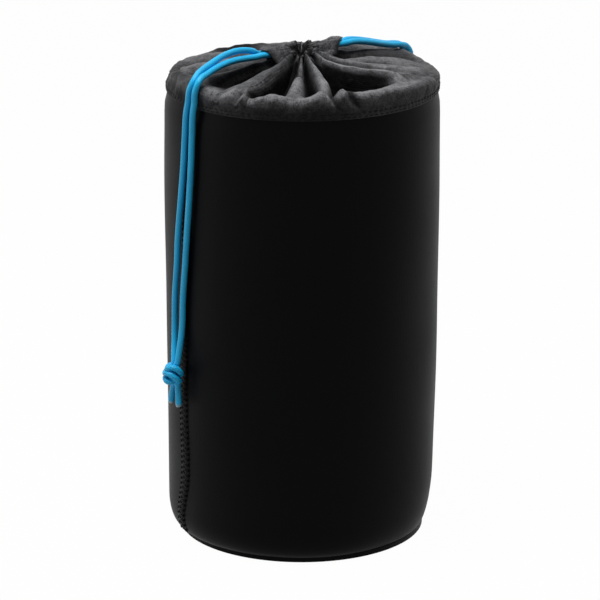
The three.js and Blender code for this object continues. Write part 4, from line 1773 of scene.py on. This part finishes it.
def channelSpot(letter, way, side):
    # a point in the cord's frame and its painted shade: way goes out to the mouth, side from -1 to 1 across
    # it
    h = channelShape
    number = h["gore"][letter]
    front = max(0.0, side * h["front"][letter])
    reach = h["start"] + (h["mouth"] - h["start"]) * way
    reach += (0.8 * math.sin(side * 2.2 + 0.6) - 9.0 * abs(side) ** 2.0) * smoothStep(0.2, 1, way)
    half = (h["half"] + h["slope"] * front ** 2) * (0.55 + 0.45 * smoothStep(0, 0.7, way))
    sideways = h["middle"] * (0.4 + 0.6 * way) + side * half
    radius = max(collar["crownRadius"], math.hypot(reach, sideways))
    angle = math.degrees(cordSet["turn"][letter]) + math.degrees(math.atan2(sideways, reach))
    ground = clothHeight(number, radius, angle) + h["above"]
    rib = math.cos(h["ribs"] * side + 1.3 * number + 1.1 * math.sin(5 * side + way * 2))
    crumple = noise.noise(Vector((reach * 0.4, sideways * 0.5, number)))
    crown = h["top"] - 1.6 * (1 - smoothStep(0.1, 0.75, way)) + 0.2 * math.sin(way * 9 + side * 2)
    crown += h["ribHeight"] * rib * (1 - 0.8 * smoothStep(0.5, 0.9, way))
    crown += 0.5 * crumple * (1 - 0.7 * smoothStep(0.4, 0.7, way))
    arch = 1 - smoothStep(0.42, 0.98, abs(side))
    height = max(ground, ground + (crown - ground) * arch)
    # painted shade between the ribs, less towards the mouth, lessened by a painted highlight for each mouth
    depth = min(1.0, 0.8 * max(0.0, -rib) * (1 - 0.6 * way)) - h["paintedLighting"][letter]
    # painted shade at the front edge of the mouth
    hem = smoothStep(0.72, 1, way) * smoothStep(0.25, 0.7, front)
    return Vector((reach, sideways, height)), depth + (h["hemShade"] - depth) * hem


def makeChannel(letter):
    h = channelShape
    sides = [2 * j / h["across"] - 1 for j in range(h["across"] + 1)]
    rows, shadingRows = [], []
    for i in range(h["along"] + 1):
        spots = [channelSpot(letter, i / h["along"], side) for side in sides]
        rows.append(turned([spot for spot, _ in spots], cordSet["turn"][letter])[::-1])
        # painted shade and highlight for each point of the channel
        shadingRows.append([depth for _, depth in spots][::-1])
    piece = clothPiece(f"cordChannel{letter}", rows, nylonFinish, h["thickness"], 1, shadingRows=shadingRows)
    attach(piece, cordSet["gore"][letter])
    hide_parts(f"cord_exit_{letter.lower()}")


makeChannel("A")
makeChannel("B")
print("cord channels made")


# floor, light and background
studio = {
    "floor": (0.5, 0.5, 0.5, 1),
    "floorSize": 9.0,
    "floorRough": 0.9,
    "floorSpecular": 0.1,
    "white": (1, 1, 1, 1),
    "aim": (0, 0, 0.12),
    "lamps": [  # name, place, size, power
        ("topBox", (-0.2, -0.08, 1.3), (0.6, 0.6), 15.0),
        ("leftBox", (-1.15, 0.5, 0.3), (0.4, 0.4), 2.5),
    ],
    "ambient": 0.03,
    "glow": 0.985,  # share of the floor that shows as plain white
}


def directlySeen(tree):
    # 1 where the camera, a gloss or a clear piece shows the background
    path = tree.nodes.new("ShaderNodeLightPath")
    mirrored = mathNode(tree, "MAXIMUM", path.outputs["Is Glossy Ray"], path.outputs["Is Transmission Ray"])
    return mathNode(tree, "MAXIMUM", path.outputs["Is Camera Ray"], mirrored)


def makeFloor(look):
    clearSelection()
    bpy.ops.mesh.primitive_plane_add(size=look["floorSize"])
    floor = bpy.context.object
    floor.name = "studioFloor"
    finish = bpy.data.materials.new("paleFloor")
    finish.use_nodes = True
    tree = finish.node_tree
    surface = tree.nodes["Principled BSDF"]
    surface.inputs["Base Color"].default_value = look["floor"]
    surface.inputs["Roughness"].default_value = look["floorRough"]
    surface.inputs["Specular IOR Level"].default_value = look["floorSpecular"]
    glow = tree.nodes.new("ShaderNodeEmission")
    glow.inputs["Color"].default_value = look["white"]
    glow.inputs["Strength"].default_value = 1.0
    share = mathNode(tree, "MULTIPLY", directlySeen(tree), look["glow"])
    blend = tree.nodes.new("ShaderNodeMixShader")
    tree.links.new(share, blend.inputs["Fac"])
    tree.links.new(surface.outputs["BSDF"], blend.inputs[1])
    tree.links.new(glow.outputs["Emission"], blend.inputs[2])
    tree.links.new(blend.outputs["Shader"], tree.nodes["Material Output"].inputs["Surface"])
    floor.data.materials.append(finish)


def hangLamps(look):
    for name, place, size, power in look["lamps"]:
        clearSelection()
        bpy.ops.object.light_add(type="AREA", location=place)
        lamp = bpy.context.object
        lamp.name = name
        lamp.data.shape = "RECTANGLE"
        lamp.data.size, lamp.data.size_y = size
        lamp.data.energy = power
        lamp.rotation_euler = (Vector(look["aim"]) - Vector(place)).to_track_quat("-Z", "Y").to_euler()


def makeBackground(look):
    world = bpy.data.worlds.new("studioWorld")
    scene.world = world
    world.use_nodes = True
    tree = world.node_tree
    back = tree.nodes["Background"]
    back.inputs["Color"].default_value = look["white"]
    strength = mathNode(tree, "MULTIPLY_ADD", directlySeen(tree), 1 - look["ambient"], look["ambient"])
    tree.links.new(strength, back.inputs["Strength"])


makeFloor(studio)
hangLamps(studio)
makeBackground(studio)
print("studio made")
